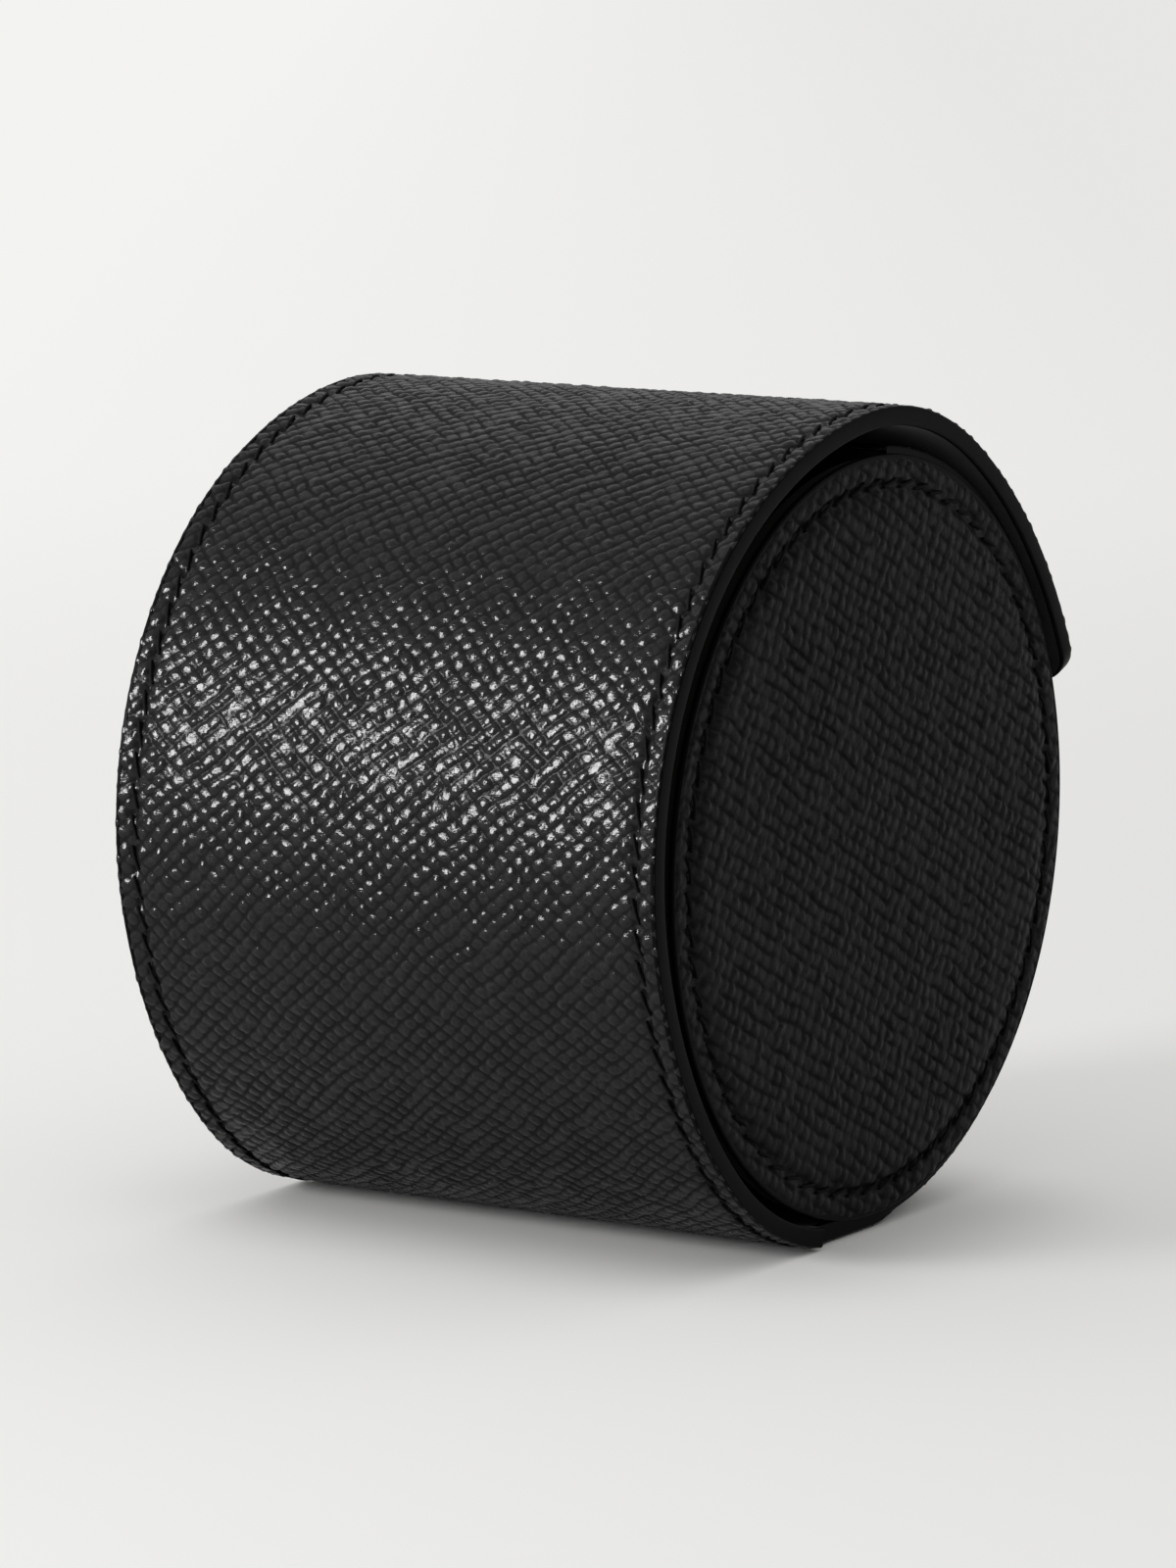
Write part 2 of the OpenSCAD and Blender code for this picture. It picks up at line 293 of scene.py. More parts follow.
def slab(name: str, outer: np.ndarray, inner: np.ndarray) -> bpy.types.Object:
    """Closed slab between an outer and an inner grid with the same number of rows.

    Args:
        name: name of the piece.
        outer: points of the outer face, as rows x columns x 3.
        inner: points of the inner face, as rows x columns x 3.

    Returns:
        The new object. The outer face's points come first, row by row.
    """
    rows, wide = outer.shape[:2]
    narrow = inner.shape[1]
    o = np.arange(rows * wide).reshape(rows, wide)
    i = rows * wide + np.arange(rows * narrow).reshape(rows, narrow)
    faces = [grid_faces(rows, wide), grid_faces(rows, narrow, rows * wide)[:, ::-1]]
    faces.append(np.stack([o[:-1, -1], i[:-1, -1], i[1:, -1], o[1:, -1]], axis=1))
    faces.append(np.stack([o[:-1, 0], o[1:, 0], i[1:, 0], i[:-1, 0]], axis=1))
    faces.append(np.concatenate([o[0, ::-1], i[0]])[None])
    faces.append(np.concatenate([o[-1], i[-1, ::-1]])[None])
    return make_mesh(name, np.concatenate([outer.reshape(-1, 3), inner.reshape(-1, 3)]), faces)


def tube(name: str, rings: np.ndarray, closed: bool) -> bpy.types.Object:
    """Closed tube through rings of points.

    Args:
        name: name of the piece.
        rings: points as rings x points in a ring x 3.
        closed: whether the last ring joins the first one.

    Returns:
        The new object, with its faces outwards.
    """
    count, around = rings.shape[:2]
    at = np.arange(count * around).reshape(count, around)
    next_ring = np.roll(at, -1, axis=0) if closed else at[1:]
    this_ring = at if closed else at[:-1]
    corners = [this_ring, np.roll(this_ring, -1, axis=1), np.roll(next_ring, -1, axis=1), next_ring]
    faces = [np.stack([c.ravel() for c in corners], axis=1)]
    if not closed:
        faces += [at[0][::-1][None], at[-1][None]]
    points = rings.reshape(-1, 3)
    quads = faces[0]
    a, b, c, d = (points[quads[:, k]] for k in range(4))
    middle = points.mean(axis=0)
    volume = np.einsum("ij,ij->i", a - middle, np.cross(b - middle, c - middle)).sum()
    volume += np.einsum("ij,ij->i", a - middle, np.cross(c - middle, d - middle)).sum()
    if volume < 0:
        faces = [f[:, ::-1] for f in faces]
    return make_mesh(name, points, faces)


def join(objects: list[bpy.types.Object], name: str) -> bpy.types.Object:
    """Joins meshes into one.

    Args:
        objects: the meshes, of which the first takes in the others.
        name: name of the piece that they make.

    Returns:
        The joined object.
    """
    if len(objects) > 1:
        with bpy.context.temp_override(active_object=objects[0], selected_editable_objects=objects):
            bpy.ops.object.join()
    objects[0].name = name
    objects[0].data.name = name
    return objects[0]


def apply_modifiers(obj: bpy.types.Object) -> None:
    """Replaces an object's mesh with what its modifiers make of it.

    Args:
        obj: the object, which has no modifiers afterwards.
    """
    graph = bpy.context.evaluated_depsgraph_get()
    mesh = bpy.data.meshes.new_from_object(obj.evaluated_get(graph), depsgraph=graph)
    obj.modifiers.clear()
    obj.data = mesh


# The strip's section


@dataclass(frozen=True)
class Laminate:
    """Layers of the cover and of the tray wall, from the outer face inwards."""

    leather: float = 0.9 * MM
    board: float = 1.0 * MM
    lining: float = 0.4 * MM

    @property
    def total(self) -> float:
        """Thickness of all three layers."""
        return self.leather + self.board + self.lining

    @property
    def board_depths(self) -> tuple[float, float]:
        """Depths of the two faces of the board."""
        return self.leather, self.leather + self.board

    @property
    def lining_depths(self) -> tuple[float, float]:
        """Depths of the two faces of the lining."""
        return self.leather + self.board, self.total


@dataclass
class Section:
    """The line that the outer face of the leather follows, seen along the roll.

    The fold lines come from the frame's joints. Between two of them the cover bends evenly by
    the angle in bends. The tray's part is a circle with a flat foot.
    """

    laminate: Laminate = field(default_factory=Laminate)
    wall_r: float = 40.1 * MM
    axis_h: float = AXIS_H
    foot_back_y: float = 3 * MM
    heel_slope: float = 20.0
    wall_top_angle: float = 86.0
    bends: tuple[float, ...] = (34.5, 32.5, 34.5, 35.5, 27.0, 36.5, 39.3)
    tip_r: float = 43.2 * MM
    tip_angle: float = 16.3
    step: float = 0.1 * MM
    softness: float = 0.9 * MM
    wall_points: int = 600
    arc_points: int = 120
    s: np.ndarray = field(init=False)
    line: np.ndarray = field(init=False)
    tangent: np.ndarray = field(init=False)
    folds: list[float] = field(init=False)
    s_top: float = field(init=False)
    s_tip: float = field(init=False)

    def __post_init__(self) -> None:
        """Works out the line, its distances, its tangents and the places of the folds."""
        joints = {j["name"]: j["pos_m"] for j in frame["joints"] if j["type"] == "hinge"}
        names = ["cover_crease"] + [f"cover_fold_{k}" for k in range(1, len(self.bends))]
        tip = self.on_round(self.tip_r, self.tip_angle)
        folds = [np.array(joints[n][1:]) for n in names] + [tip]
        cover = [self.arc(folds[k], folds[k + 1], bend) for k, bend in enumerate(self.bends)]
        raw = np.concatenate([self.tray_line(folds[0])] + cover)
        line, s = self.evenly(raw)
        line = self.soften(line)
        line, s = self.evenly(line)
        tangent = np.gradient(line, s, axis=0)
        tangent /= np.linalg.norm(tangent, axis=1)[:, None]
        near = [int(np.argmin(np.linalg.norm(line - f, axis=1))) for f in folds]
        self.s = s - s[near[0]]
        self.line, self.tangent = line, tangent
        self.folds = [float(self.s[n]) for n in near]
        self.s_top, self.s_tip = float(self.s[0]), float(self.s[-1])

    def on_round(self, radius: float, angle: float) -> np.ndarray:
        """Point at a distance and an angle from the centre line of the end discs."""
        a = math.radians(angle)
        return np.array([radius * math.cos(a), radius * math.sin(a) + self.axis_h])

    def tray_line(self, crease: np.ndarray) -> np.ndarray:
        """Line of the tray, from the wall's top edge round the back and over the foot.

        Args:
            crease: Y and Z of the crease.

        Returns:
            Points as Y and Z, the last of which is the crease.
        """
        slope = np.array([math.cos(math.radians(self.heel_slope)), math.sin(math.radians(self.heel_slope))])
        heel = np.array([self.foot_back_y, 0.0])
        off = heel - [0, self.axis_h]
        run = -off @ slope
        meets = run - math.sqrt(run * run - off @ off + self.wall_r**2)
        end = off + meets * slope
        low = math.degrees(math.atan2(end[1], end[0]))
        angles = np.linspace(self.wall_top_angle, low, self.wall_points)
        return np.concatenate([[self.on_round(self.wall_r, a) for a in angles], [heel], [crease]])

    def arc(self, start: np.ndarray, end: np.ndarray, bend: float) -> np.ndarray:
        """Arc that turns towards the inside.

        Args:
            start: Y and Z of its start.
            end: Y and Z of its end.
            bend: how far it turns, in degrees.

        Returns:
            Points as Y and Z, without the start.
        """
        half = math.radians(bend) / 2
        chord = end - start
        length = np.linalg.norm(chord)
        inward = np.array([chord[1], -chord[0]]) / length
        radius = length / 2 / math.sin(half)
        centre = (start + end) / 2 + inward * radius * math.cos(half)
        turn = -np.linspace(0, 2 * half, self.arc_points + 1)[1:]
        off = start - centre
        cos, sin = np.cos(turn), np.sin(turn)
        return centre + np.stack([cos * off[0] - sin * off[1], sin * off[0] + cos * off[1]], axis=1)

    def evenly(self, line: np.ndarray) -> tuple[np.ndarray, np.ndarray]:
        """The same line with its points at even steps.

        Args:
            line: points as Y and Z.

        Returns:
            The new points, and their distances from the first one.
        """
        gone = np.concatenate([[0], np.cumsum(np.linalg.norm(np.diff(line, axis=0), axis=1))])
        s = np.linspace(0, gone[-1], int(gone[-1] / self.step) + 1)
        return np.stack([np.interp(s, gone, line[:, k]) for k in range(2)], axis=1), s

    def soften(self, line: np.ndarray) -> np.ndarray:
        """The line with its corners rounded by a running mean.

        Args:
            line: points as Y and Z, at even steps.

        Returns:
            As many points, each the mean of those near it, with weights that fall off evenly.
        """
        reach = int(3 * self.softness / self.step)
        weights = np.exp(-0.5 * (np.arange(-reach, reach + 1) * self.step / self.softness) ** 2)
        weights /= weights.sum()
        before = 2 * line[0] - line[reach:0:-1]
        after = 2 * line[-1] - line[-2:-reach - 2:-1]
        wide = np.concatenate([before, line, after])
        return np.stack([np.convolve(wide[:, k], weights, "valid") for k in range(2)], axis=1)

    def place(self, s: np.ndarray, x: np.ndarray, depth: np.ndarray) -> np.ndarray:
        """Points of the roll.

        Args:
            s: distances along the strip; past either end the line runs on straight.
            x: distances across the strip.
            depth: depths below the outer face.

        Returns:
            An array with one more axis than the arguments, which holds X, Y and Z.
        """
        s, x, depth = np.broadcast_arrays(s, x, depth)
        past = s - np.clip(s, self.s_top, self.s_tip)
        line = [np.interp(s, self.s, self.line[:, k]) for k in range(2)]
        tangent = [np.interp(s, self.s, self.tangent[:, k]) for k in range(2)]
        length = np.hypot(*tangent)
        ty, tz = tangent[0] / length, tangent[1] / length
        y = line[0] + past * ty + depth * tz
        z = line[1] + past * tz - depth * ty
        return np.stack([x, y, z], axis=-1)

    def point(self, s: float) -> Vector:
        """Point of the outer face in the middle of the roll."""
        return Vector(self.place(np.array(s), np.array(0.0), np.array(0.0)))

    def middle(self, k: int) -> float:
        """Distance s of the middle of the cover's segment k."""
        return (self.folds[k - 1] + self.folds[k]) / 2


# Materials


def new_group(name: str, inputs: list[tuple], outputs: list[tuple]) -> bpy.types.NodeTree:
    """Makes an empty shader node group.

    Args:
        name: name of the group.
        inputs: name, socket type and default value of each input.
        outputs: name and socket type of each output.

    Returns:
        The group's tree.
    """
    tree = bpy.data.node_groups.new(name, "ShaderNodeTree")
    for label, kind, default in inputs:
        socket = tree.interface.new_socket(label, in_out="INPUT", socket_type=kind)
        socket.default_value = default
    for label, kind in outputs:
        tree.interface.new_socket(label, in_out="OUTPUT", socket_type=kind)
    return tree


@dataclass(frozen=True)
class Graph:
    """Short way to add and join nodes in one tree."""

    tree: bpy.types.NodeTree

    def feed(self, node: bpy.types.Node, values: Values) -> None:
        """Sets or links inputs of a node.

        Args:
            node: the node.
            values: what each named or numbered input is set to, or the socket that feeds it.
        """
        for key, value in values.items():
            if isinstance(value, bpy.types.NodeSocket):
                self.tree.links.new(value, node.inputs[key])
            else:
                node.inputs[key].default_value = value

    def add(self, kind: str, values: Values | None = None, **settings: object) -> bpy.types.Node:
        """Adds a node.

        Args:
            kind: type of the node.
            values: what each named or numbered input is set to, or the socket that feeds it.
            **settings: properties of the node.

        Returns:
            The new node.
        """
        node = self.tree.nodes.new(kind)
        for key, value in settings.items():
            setattr(node, key, value)
        self.feed(node, values or {})
        return node

    def math(self, operation: str, a: Feed, b: Feed = 0.0) -> bpy.types.NodeSocket:
        """Adds a Math node and returns its output."""
        return self.add("ShaderNodeMath", {0: a, 1: b}, operation=operation).outputs[0]

    def noise(self, vector: Feed, scale: float, detail: float, rough: float) -> bpy.types.NodeSocket:
        """Adds a Noise Texture in three dimensions and returns its factor."""
        values = {"Vector": vector, "Scale": scale, "Detail": detail, "Roughness": rough}
        return self.add("ShaderNodeTexNoise", values).outputs["Fac"]

    def mix(self, factor: Feed, a: Feed, b: Feed) -> bpy.types.NodeSocket:
        """Mixes two colours and returns the result."""
        return self.add("ShaderNodeMix", {0: factor, 6: a, 7: b}, data_type="RGBA").outputs[2]

    def span(self, value: Feed, low: float, high: float) -> bpy.types.NodeSocket:
        """Maps a value between 0 and 1 to a range and returns the result."""
        return self.add("ShaderNodeMapRange", {0: value, 3: low, 4: high}).outputs[0]

    def around(self, value: Feed, spread: float) -> bpy.types.NodeSocket:
        """Turns a value between 0 and 1 into one that lies around 0 and returns it."""
        return self.math("MULTIPLY", self.math("SUBTRACT", value, 0.5), spread)


def grain_group() -> bpy.types.NodeTree:
    """Shared group: fine creases and tone of grained leather over a surface in metres.

    Returns:
        The group's tree.
    """
    crease_scale, pore_scale, cloud_scale = 3600.0, 2000.0, 60.0
    crease_angles, crease_stretch = (50, 130), 0.3
    pore_spread, cloud_spread = 0.22, 0.1
    crease_height, pore_height = 0.6, 0.8
    worn_from, worn_to, worn_least, pore_least = 0.16, 0.55, 0.14, 0.2
    tree = new_group(
        "leather_grain",
        [
            ("Surface", "NodeSocketVector", (0, 0, 0)),
            ("Crest", "NodeSocketFloat", 1.0),
            ("Crest Colour", "NodeSocketColor", (0.02, 0.02, 0.02, 1)),
            ("Groove Painted Light", "NodeSocketColor", (0.01, 0.01, 0.01, 1)),
            ("Crest Roughness", "NodeSocketFloat", 0.35),
            ("Groove Roughness", "NodeSocketFloat", 0.6),
            ("Glaze", "NodeSocketFloat", 1.0),
        ],
        [
            ("Colour", "NodeSocketColor"),
            ("Roughness", "NodeSocketFloat"),
            ("Coat", "NodeSocketFloat"),
            ("Height", "NodeSocketFloat"),
        ],
    )
    g = Graph(tree)
    put = g.add("NodeGroupInput")
    out = g.add("NodeGroupOutput")
    surface = put.outputs["Surface"]
    slanting = [
        g.add(
            "ShaderNodeMapping",
            {"Vector": surface, "Rotation": (0, 0, math.radians(turn)), "Scale": (1.0, crease_stretch, 1.0)},
        )
        for turn in crease_angles
    ]
    folds = [g.noise(s.outputs[0], crease_scale, 1.5, 0.55) for s in slanting]
    creases = g.math("MINIMUM", folds[0], folds[1])
    pores = g.noise(surface, pore_scale, 1.5, 0.55)
    cloudy = g.noise(surface, cloud_scale, 2.0, 0.5)
    # Painted light and shade in the grooves: the groove colour stands in for how light falls there. The
    # leather's finish sets it lighter than the crests, in place of the sheen that only the crests' coat
    # reflects.
    colour = g.mix(put.outputs["Crest"], put.outputs["Groove Painted Light"], put.outputs["Crest Colour"])
    spread = g.math("SUBTRACT", put.outputs["Groove Roughness"], put.outputs["Crest Roughness"])
    lowered = g.math("MULTIPLY", spread, g.math("SUBTRACT", 1.0, put.outputs["Crest"]))
    rough = g.math("ADD", put.outputs["Crest Roughness"], lowered)
    rough = g.math("ADD", rough, g.around(pores, pore_spread))
    rough = g.math("ADD", rough, g.around(cloudy, cloud_spread))
    height = g.math("ADD", g.math("MULTIPLY", creases, crease_height), g.math("MULTIPLY", pores, pore_height))
    worn = g.add(
        "ShaderNodeMapRange", {0: put.outputs["Crest"], 1: worn_from, 2: worn_to, 3: worn_least, 4: 1.0}
    )
    glaze = g.math("MULTIPLY", worn.outputs[0], g.span(pores, pore_least, 1.0))
    glaze = g.math("MULTIPLY", glaze, put.outputs["Glaze"])
    g.feed(out, {"Colour": colour, "Roughness": rough, "Coat": glaze, "Height": height})
    return tree


def nap_group() -> bpy.types.NodeTree:
    """Shared group: brushed nap of suede and of lining cloth.

    Returns:
        The group's tree.
    """
    fibre_scale, stroke_scale, fibre_share = 3200.0, 130.0, 0.45
    dark_below, light_above = 0.35, 0.65
    tree = new_group(
        "brushed_nap",
        [
            ("Surface", "NodeSocketVector", (0, 0, 0)),
            ("Dark", "NodeSocketColor", (0.02, 0.02, 0.02, 1)),
            ("Light", "NodeSocketColor", (0.05, 0.05, 0.05, 1)),
            ("Scale", "NodeSocketFloat", 1.0),
        ],
        [("Colour", "NodeSocketColor"), ("Height", "NodeSocketFloat")],
    )
    g = Graph(tree)
    put = g.add("NodeGroupInput")
    out = g.add("NodeGroupOutput")
    surface = {0: put.outputs["Surface"], "Scale": put.outputs["Scale"]}
    scaled = g.add("ShaderNodeVectorMath", surface, operation="SCALE").outputs[0]
    fibres = g.noise(scaled, fibre_scale, 3.0, 0.7)
    strokes = g.noise(scaled, stroke_scale, 3.0, 0.55)
    fine = g.math("MULTIPLY", fibres, fibre_share)
    both = g.math("ADD", fine, g.math("MULTIPLY", strokes, 1 - fibre_share))
    share = g.add("ShaderNodeMapRange", {0: both, 1: dark_below, 2: light_above}).outputs[0]
    g.feed(out, {"Colour": g.mix(share, put.outputs["Dark"], put.outputs["Light"]), "Height": fibres})
    return tree


@dataclass(frozen=True)
class Finish:
    """What all finishes share: a name and a way to start their material."""

    name: str

    def start(self) -> tuple[bpy.types.Material, Graph, bpy.types.Node]:
        """Starts the material.

        Returns:
            The new material, its graph and its Principled BSDF.
        """
        material = bpy.data.materials.new(self.name)
        material.use_nodes = True
        tree = material.node_tree
        return material, Graph(tree), tree.nodes["Principled BSDF"]

    def relief(self, g: Graph, shader: bpy.types.Node, height: Feed, distance: float) -> None:
        """Feeds a height into the shader's normals through a Bump node."""
        bump = g.add("ShaderNodeBump", {"Strength": 1.0, "Distance": distance, "Height": height})
        g.feed(shader, {"Normal": bump.outputs["Normal"], "Coat Normal": bump.outputs["Normal"]})


@dataclass(frozen=True)
class GrainedLeather(Finish):
    """Black coated leather whose crests shine and whose grooves are dull."""

    group: bpy.types.NodeTree
    # The groove colour is painted light: it is lighter than the crest colour, in place of the sheen that only
    # the crests' coat reflects.
    crest_colour: tuple[float, ...] = (0.0028, 0.0028, 0.0031, 1)
    groove_painted_light: tuple[float, ...] = (0.0045, 0.0045, 0.0048, 1)
    crest_rough: float = 0.45
    groove_rough: float = 0.7
    glaze: float = 0.66
    specular: float = 0.04
    coat_rough: float = 0.17
    bump: float = 0.055 * MM

    def material(self) -> bpy.types.Material:
        """Builds the material.

        Returns:
            The new material, which reads the piece's UV map and its crest values.
        """
        material, g, shader = self.start()
        values = {
            "Surface": g.add("ShaderNodeUVMap", uv_map=UV_NAME).outputs["UV"],
            "Crest": g.add("ShaderNodeAttribute", attribute_name=CREST_NAME).outputs["Fac"],
            "Crest Colour": self.crest_colour,
            "Groove Painted Light": self.groove_painted_light,
            "Crest Roughness": self.crest_rough,
            "Groove Roughness": self.groove_rough,
            "Glaze": self.glaze,
        }
        grain = g.add("ShaderNodeGroup", values, node_tree=self.group).outputs
        looks = {"Base Color": grain["Colour"], "Roughness": grain["Roughness"], "Coat Weight": grain["Coat"]}
        g.feed(shader, looks | {"Specular IOR Level": self.specular, "Coat Roughness": self.coat_rough})
        self.relief(g, shader, grain["Height"], self.bump)
        return material


@dataclass(frozen=True)
class NappedCloth(Finish):
    """Suede or lining with a soft brushed nap."""

    group: bpy.types.NodeTree
    dark: tuple[float, ...] = (0.005, 0.005, 0.0055, 1)
    light: tuple[float, ...] = (0.013, 0.013, 0.014, 1)
    sheen: float = 0.1
    sheen_rough: float = 0.4
    rough: float = 0.95
    specular: float = 0.2
    scale: float = 1.0
    bump: float = 0.05 * MM

    def material(self) -> bpy.types.Material:
        """Builds the material.

        Returns:
            The new material, which reads object coordinates.
        """
        material, g, shader = self.start()
        here = g.add("ShaderNodeTexCoord").outputs["Object"]
        values = {"Surface": here, "Dark": self.dark, "Light": self.light, "Scale": self.scale}
        nap = g.add("ShaderNodeGroup", values, node_tree=self.group).outputs
        looks = {"Base Color": nap["Colour"], "Roughness": self.rough, "Specular IOR Level": self.specular}
        g.feed(shader, looks | {"Sheen Weight": self.sheen, "Sheen Roughness": self.sheen_rough})
        self.relief(g, shader, nap["Height"], self.bump)
        return material


@dataclass(frozen=True)
class Smooth(Finish):
    """Painted edge, thread, board or metal: a tone with slight unevenness."""

    dark: tuple[float, ...] = (0.003, 0.003, 0.0033, 1)
    light: tuple[float, ...] = (0.006, 0.006, 0.0065, 1)
    rough: float = 0.4
    uneven: float = 0.08
    specular: float = 0.2
    scale: float = 700.0
    bump: float = 0.01 * MM
    metallic: float = 0.0

    def material(self) -> bpy.types.Material:
        """Builds the material.

        Returns:
            The new material, which reads object coordinates.
        """
        material, g, shader = self.start()
        here = g.add("ShaderNodeTexCoord").outputs["Object"]
        spots = g.noise(here, self.scale, 3.0, 0.55)
        rough = g.span(spots, self.rough - self.uneven, self.rough + self.uneven)
        looks = {"Base Color": g.mix(spots, self.dark, self.light), "Roughness": rough}
        g.feed(shader, looks | {"Metallic": self.metallic, "Specular IOR Level": self.specular})
        self.relief(g, shader, spots, self.bump)
        return material


class Finishes:
    """All materials of the roll, each made once."""

    def __init__(self) -> None:
        """Builds the node groups and the materials."""
        grain, nap = grain_group(), nap_group()
        self.leather = GrainedLeather("grained_leather", grain).material()
        self.end_leather = GrainedLeather(
            "end_leather", grain, groove_painted_light=(0.0028, 0.0028, 0.003, 1), glaze=0.18, coat_rough=0.24
        ).material()
        self.edge = Smooth(
            "painted_edge", dark=(0.0012, 0.0012, 0.0013, 1), light=(0.0025, 0.0025, 0.0027, 1), specular=0.03
        ).material()
        self.thread = Smooth(
            "black_thread", dark=(0.002, 0.002, 0.002, 1), light=(0.008, 0.008, 0.008, 1),
            rough=0.75, specular=0.05, scale=3000.0, bump=0.03 * MM,
        ).material()
        self.board = Smooth(
            "dyed_board", dark=(0.012, 0.011, 0.01, 1), light=(0.022, 0.02, 0.018, 1),
            rough=0.9, uneven=0.05, scale=1500.0, bump=0.05 * MM,
        ).material()
        self.steel = Smooth(
            "steel_sheet", dark=(0.45, 0.45, 0.46, 1), light=(0.6, 0.6, 0.61, 1),
            rough=0.32, metallic=1.0, specular=0.5,
        ).material()
        self.nickel = Smooth(
            "nickel_plate", dark=(0.6, 0.59, 0.56, 1), light=(0.72, 0.7, 0.67, 1),
            rough=0.18, uneven=0.04, metallic=1.0, specular=0.5,
        ).material()
        self.foam = NappedCloth(
            "open_foam", nap, dark=(0.5, 0.48, 0.42, 1), light=(0.75, 0.73, 0.66, 1)
        ).material()
        self.lining = NappedCloth("brushed_lining", nap).material()
        self.suede = NappedCloth(
            "cushion_suede", nap, dark=(0.016, 0.016, 0.018, 1), light=(0.045, 0.045, 0.05, 1), sheen=0.25
        ).material()


def dress_node(name: str, material: bpy.types.Material) -> None:
    """Gives a CAD node that stays in view its material.

    Args:
        name: name of the node.
        material: its only material.
    """
    materials = frame["nodes"][name].data.materials
    materials.clear()
    materials.append(material)


# Stitches


@dataclass
class StitchTree:
    """Geometry Nodes that lay one slanting stitch on every point of a row.

    The slant is in radians, off the line of the seam.
    """

    thread: bpy.types.Material
    length: float = 2.6 * MM
    radius: float = 0.17 * MM
    rise: float = 0.26 * MM
    slant: float = 0.28
    tree: bpy.types.NodeTree = field(init=False)

    @property
    def inputs(self) -> dict[str, float]:
        """Values of the tree's named inputs."""
        return {"Length": self.length, "Thread Radius": self.radius, "Rise": self.rise, "Slant": self.slant}

    def __post_init__(self) -> None:
        """Builds the tree."""
        tree = bpy.data.node_groups.new("stitch_row", "GeometryNodeTree")
        face = tree.interface
        face.new_socket("Geometry", in_out="INPUT", socket_type="NodeSocketGeometry")
        for label, default in self.inputs.items():
            face.new_socket(label, in_out="INPUT", socket_type="NodeSocketFloat").default_value = default
        face.new_socket("Geometry", in_out="OUTPUT", socket_type="NodeSocketGeometry")
        g = Graph(tree)
        put, out = g.add("NodeGroupInput"), g.add("NodeGroupOutput")
        half = g.math("MULTIPLY", put.outputs["Length"], 0.5)
        back = g.math("MULTIPLY", half, -1.0)
        start = g.add("ShaderNodeCombineXYZ", {"X": back}).outputs[0]
        crown = g.add("ShaderNodeCombineXYZ", {"Z": put.outputs["Rise"]}).outputs[0]
        end = g.add("ShaderNodeCombineXYZ", {"X": half}).outputs[0]
        arch = g.add(
            "GeometryNodeCurveQuadraticBezier", {"Resolution": 6, "Start": start, "Middle": crown, "End": end}
        )
        round_thread = {"Resolution": 6, "Radius": put.outputs["Thread Radius"]}
        circle = g.add("GeometryNodeCurvePrimitiveCircle", round_thread)
        body = g.add(
            "GeometryNodeCurveToMesh",
            {"Curve": arch.outputs[0], "Profile Curve": circle.outputs[0], "Fill Caps": True},
        )
        along = g.add("GeometryNodeInputNamedAttribute", {"Name": "run"}, data_type="FLOAT_VECTOR")
        up = g.add("GeometryNodeInputNamedAttribute", {"Name": "up"}, data_type="FLOAT_VECTOR")
        first = g.add("FunctionNodeAlignRotationToVector", {"Vector": along.outputs[0]}, axis="X")
        second = g.add(
            "FunctionNodeAlignRotationToVector",
            {"Rotation": first.outputs[0], "Vector": up.outputs[0]}, axis="Z", pivot_axis="X",
        )
        lean = g.add("ShaderNodeCombineXYZ", {"Z": put.outputs["Slant"]}).outputs[0]
        leaning = g.add("FunctionNodeEulerToRotation", {0: lean}).outputs[0]
        turned = g.add(
            "FunctionNodeRotateRotation", {0: second.outputs[0], 1: leaning}, rotation_space="LOCAL"
        )
        points = g.add("GeometryNodeMeshToPoints", {"Mesh": put.outputs["Geometry"]})
        laid = g.add(
            "GeometryNodeInstanceOnPoints",
            {"Points": points.outputs[0], "Instance": body.outputs[0], "Rotation": turned.outputs[0]},
        )
        real = g.add("GeometryNodeRealizeInstances", {0: laid.outputs[0]})
        smooth = g.add("GeometryNodeSetShadeSmooth", {"Geometry": real.outputs[0]})
        dressed = g.add("GeometryNodeSetMaterial", {"Geometry": smooth.outputs[0], "Material": self.thread})
        tree.links.new(dressed.outputs[0], out.inputs[0])
        self.tree = tree

    def row(self, name: str, places: np.ndarray, runs: np.ndarray, ups: np.ndarray) -> bpy.types.Object:
        """Lays a stitch at each place.

        Args:
            name: name of the piece.
            places: middle of each stitch.
            runs: direction of the seam at each stitch.
            ups: direction away from the leather at each stitch.

        Returns:
            The new object, a plain mesh of all the stitches.
        """
        seed = bpy.data.meshes.new(name + "_points")
        seed.vertices.add(len(places))
        seed.vertices.foreach_set("co", np.asarray(places, np.float32).ravel())
        for label, rows in (("run", runs), ("up", ups)):
            stored = seed.attributes.new(label, "FLOAT_VECTOR", "POINT")
            stored.data.foreach_set("vector", np.asarray(rows, np.float32).ravel())
        carrier = bpy.data.objects.new(name + "_points", seed)
        bpy.context.scene.collection.objects.link(carrier)
        modifier = carrier.modifiers.new("stitches", "NODES")
        modifier.node_group = self.tree
        for item in self.tree.interface.items_tree:
            if item.in_out == "INPUT" and item.name in self.inputs:
                modifier[item.identifier] = self.inputs[item.name]
        graph = bpy.context.evaluated_depsgraph_get()
        mesh = bpy.data.meshes.new_from_object(carrier.evaluated_get(graph), depsgraph=graph)
        mesh.name = name
        bpy.data.objects.remove(carrier)
        obj = bpy.data.objects.new(name, mesh)
        bpy.context.scene.collection.objects.link(obj)
        return obj


# The strip


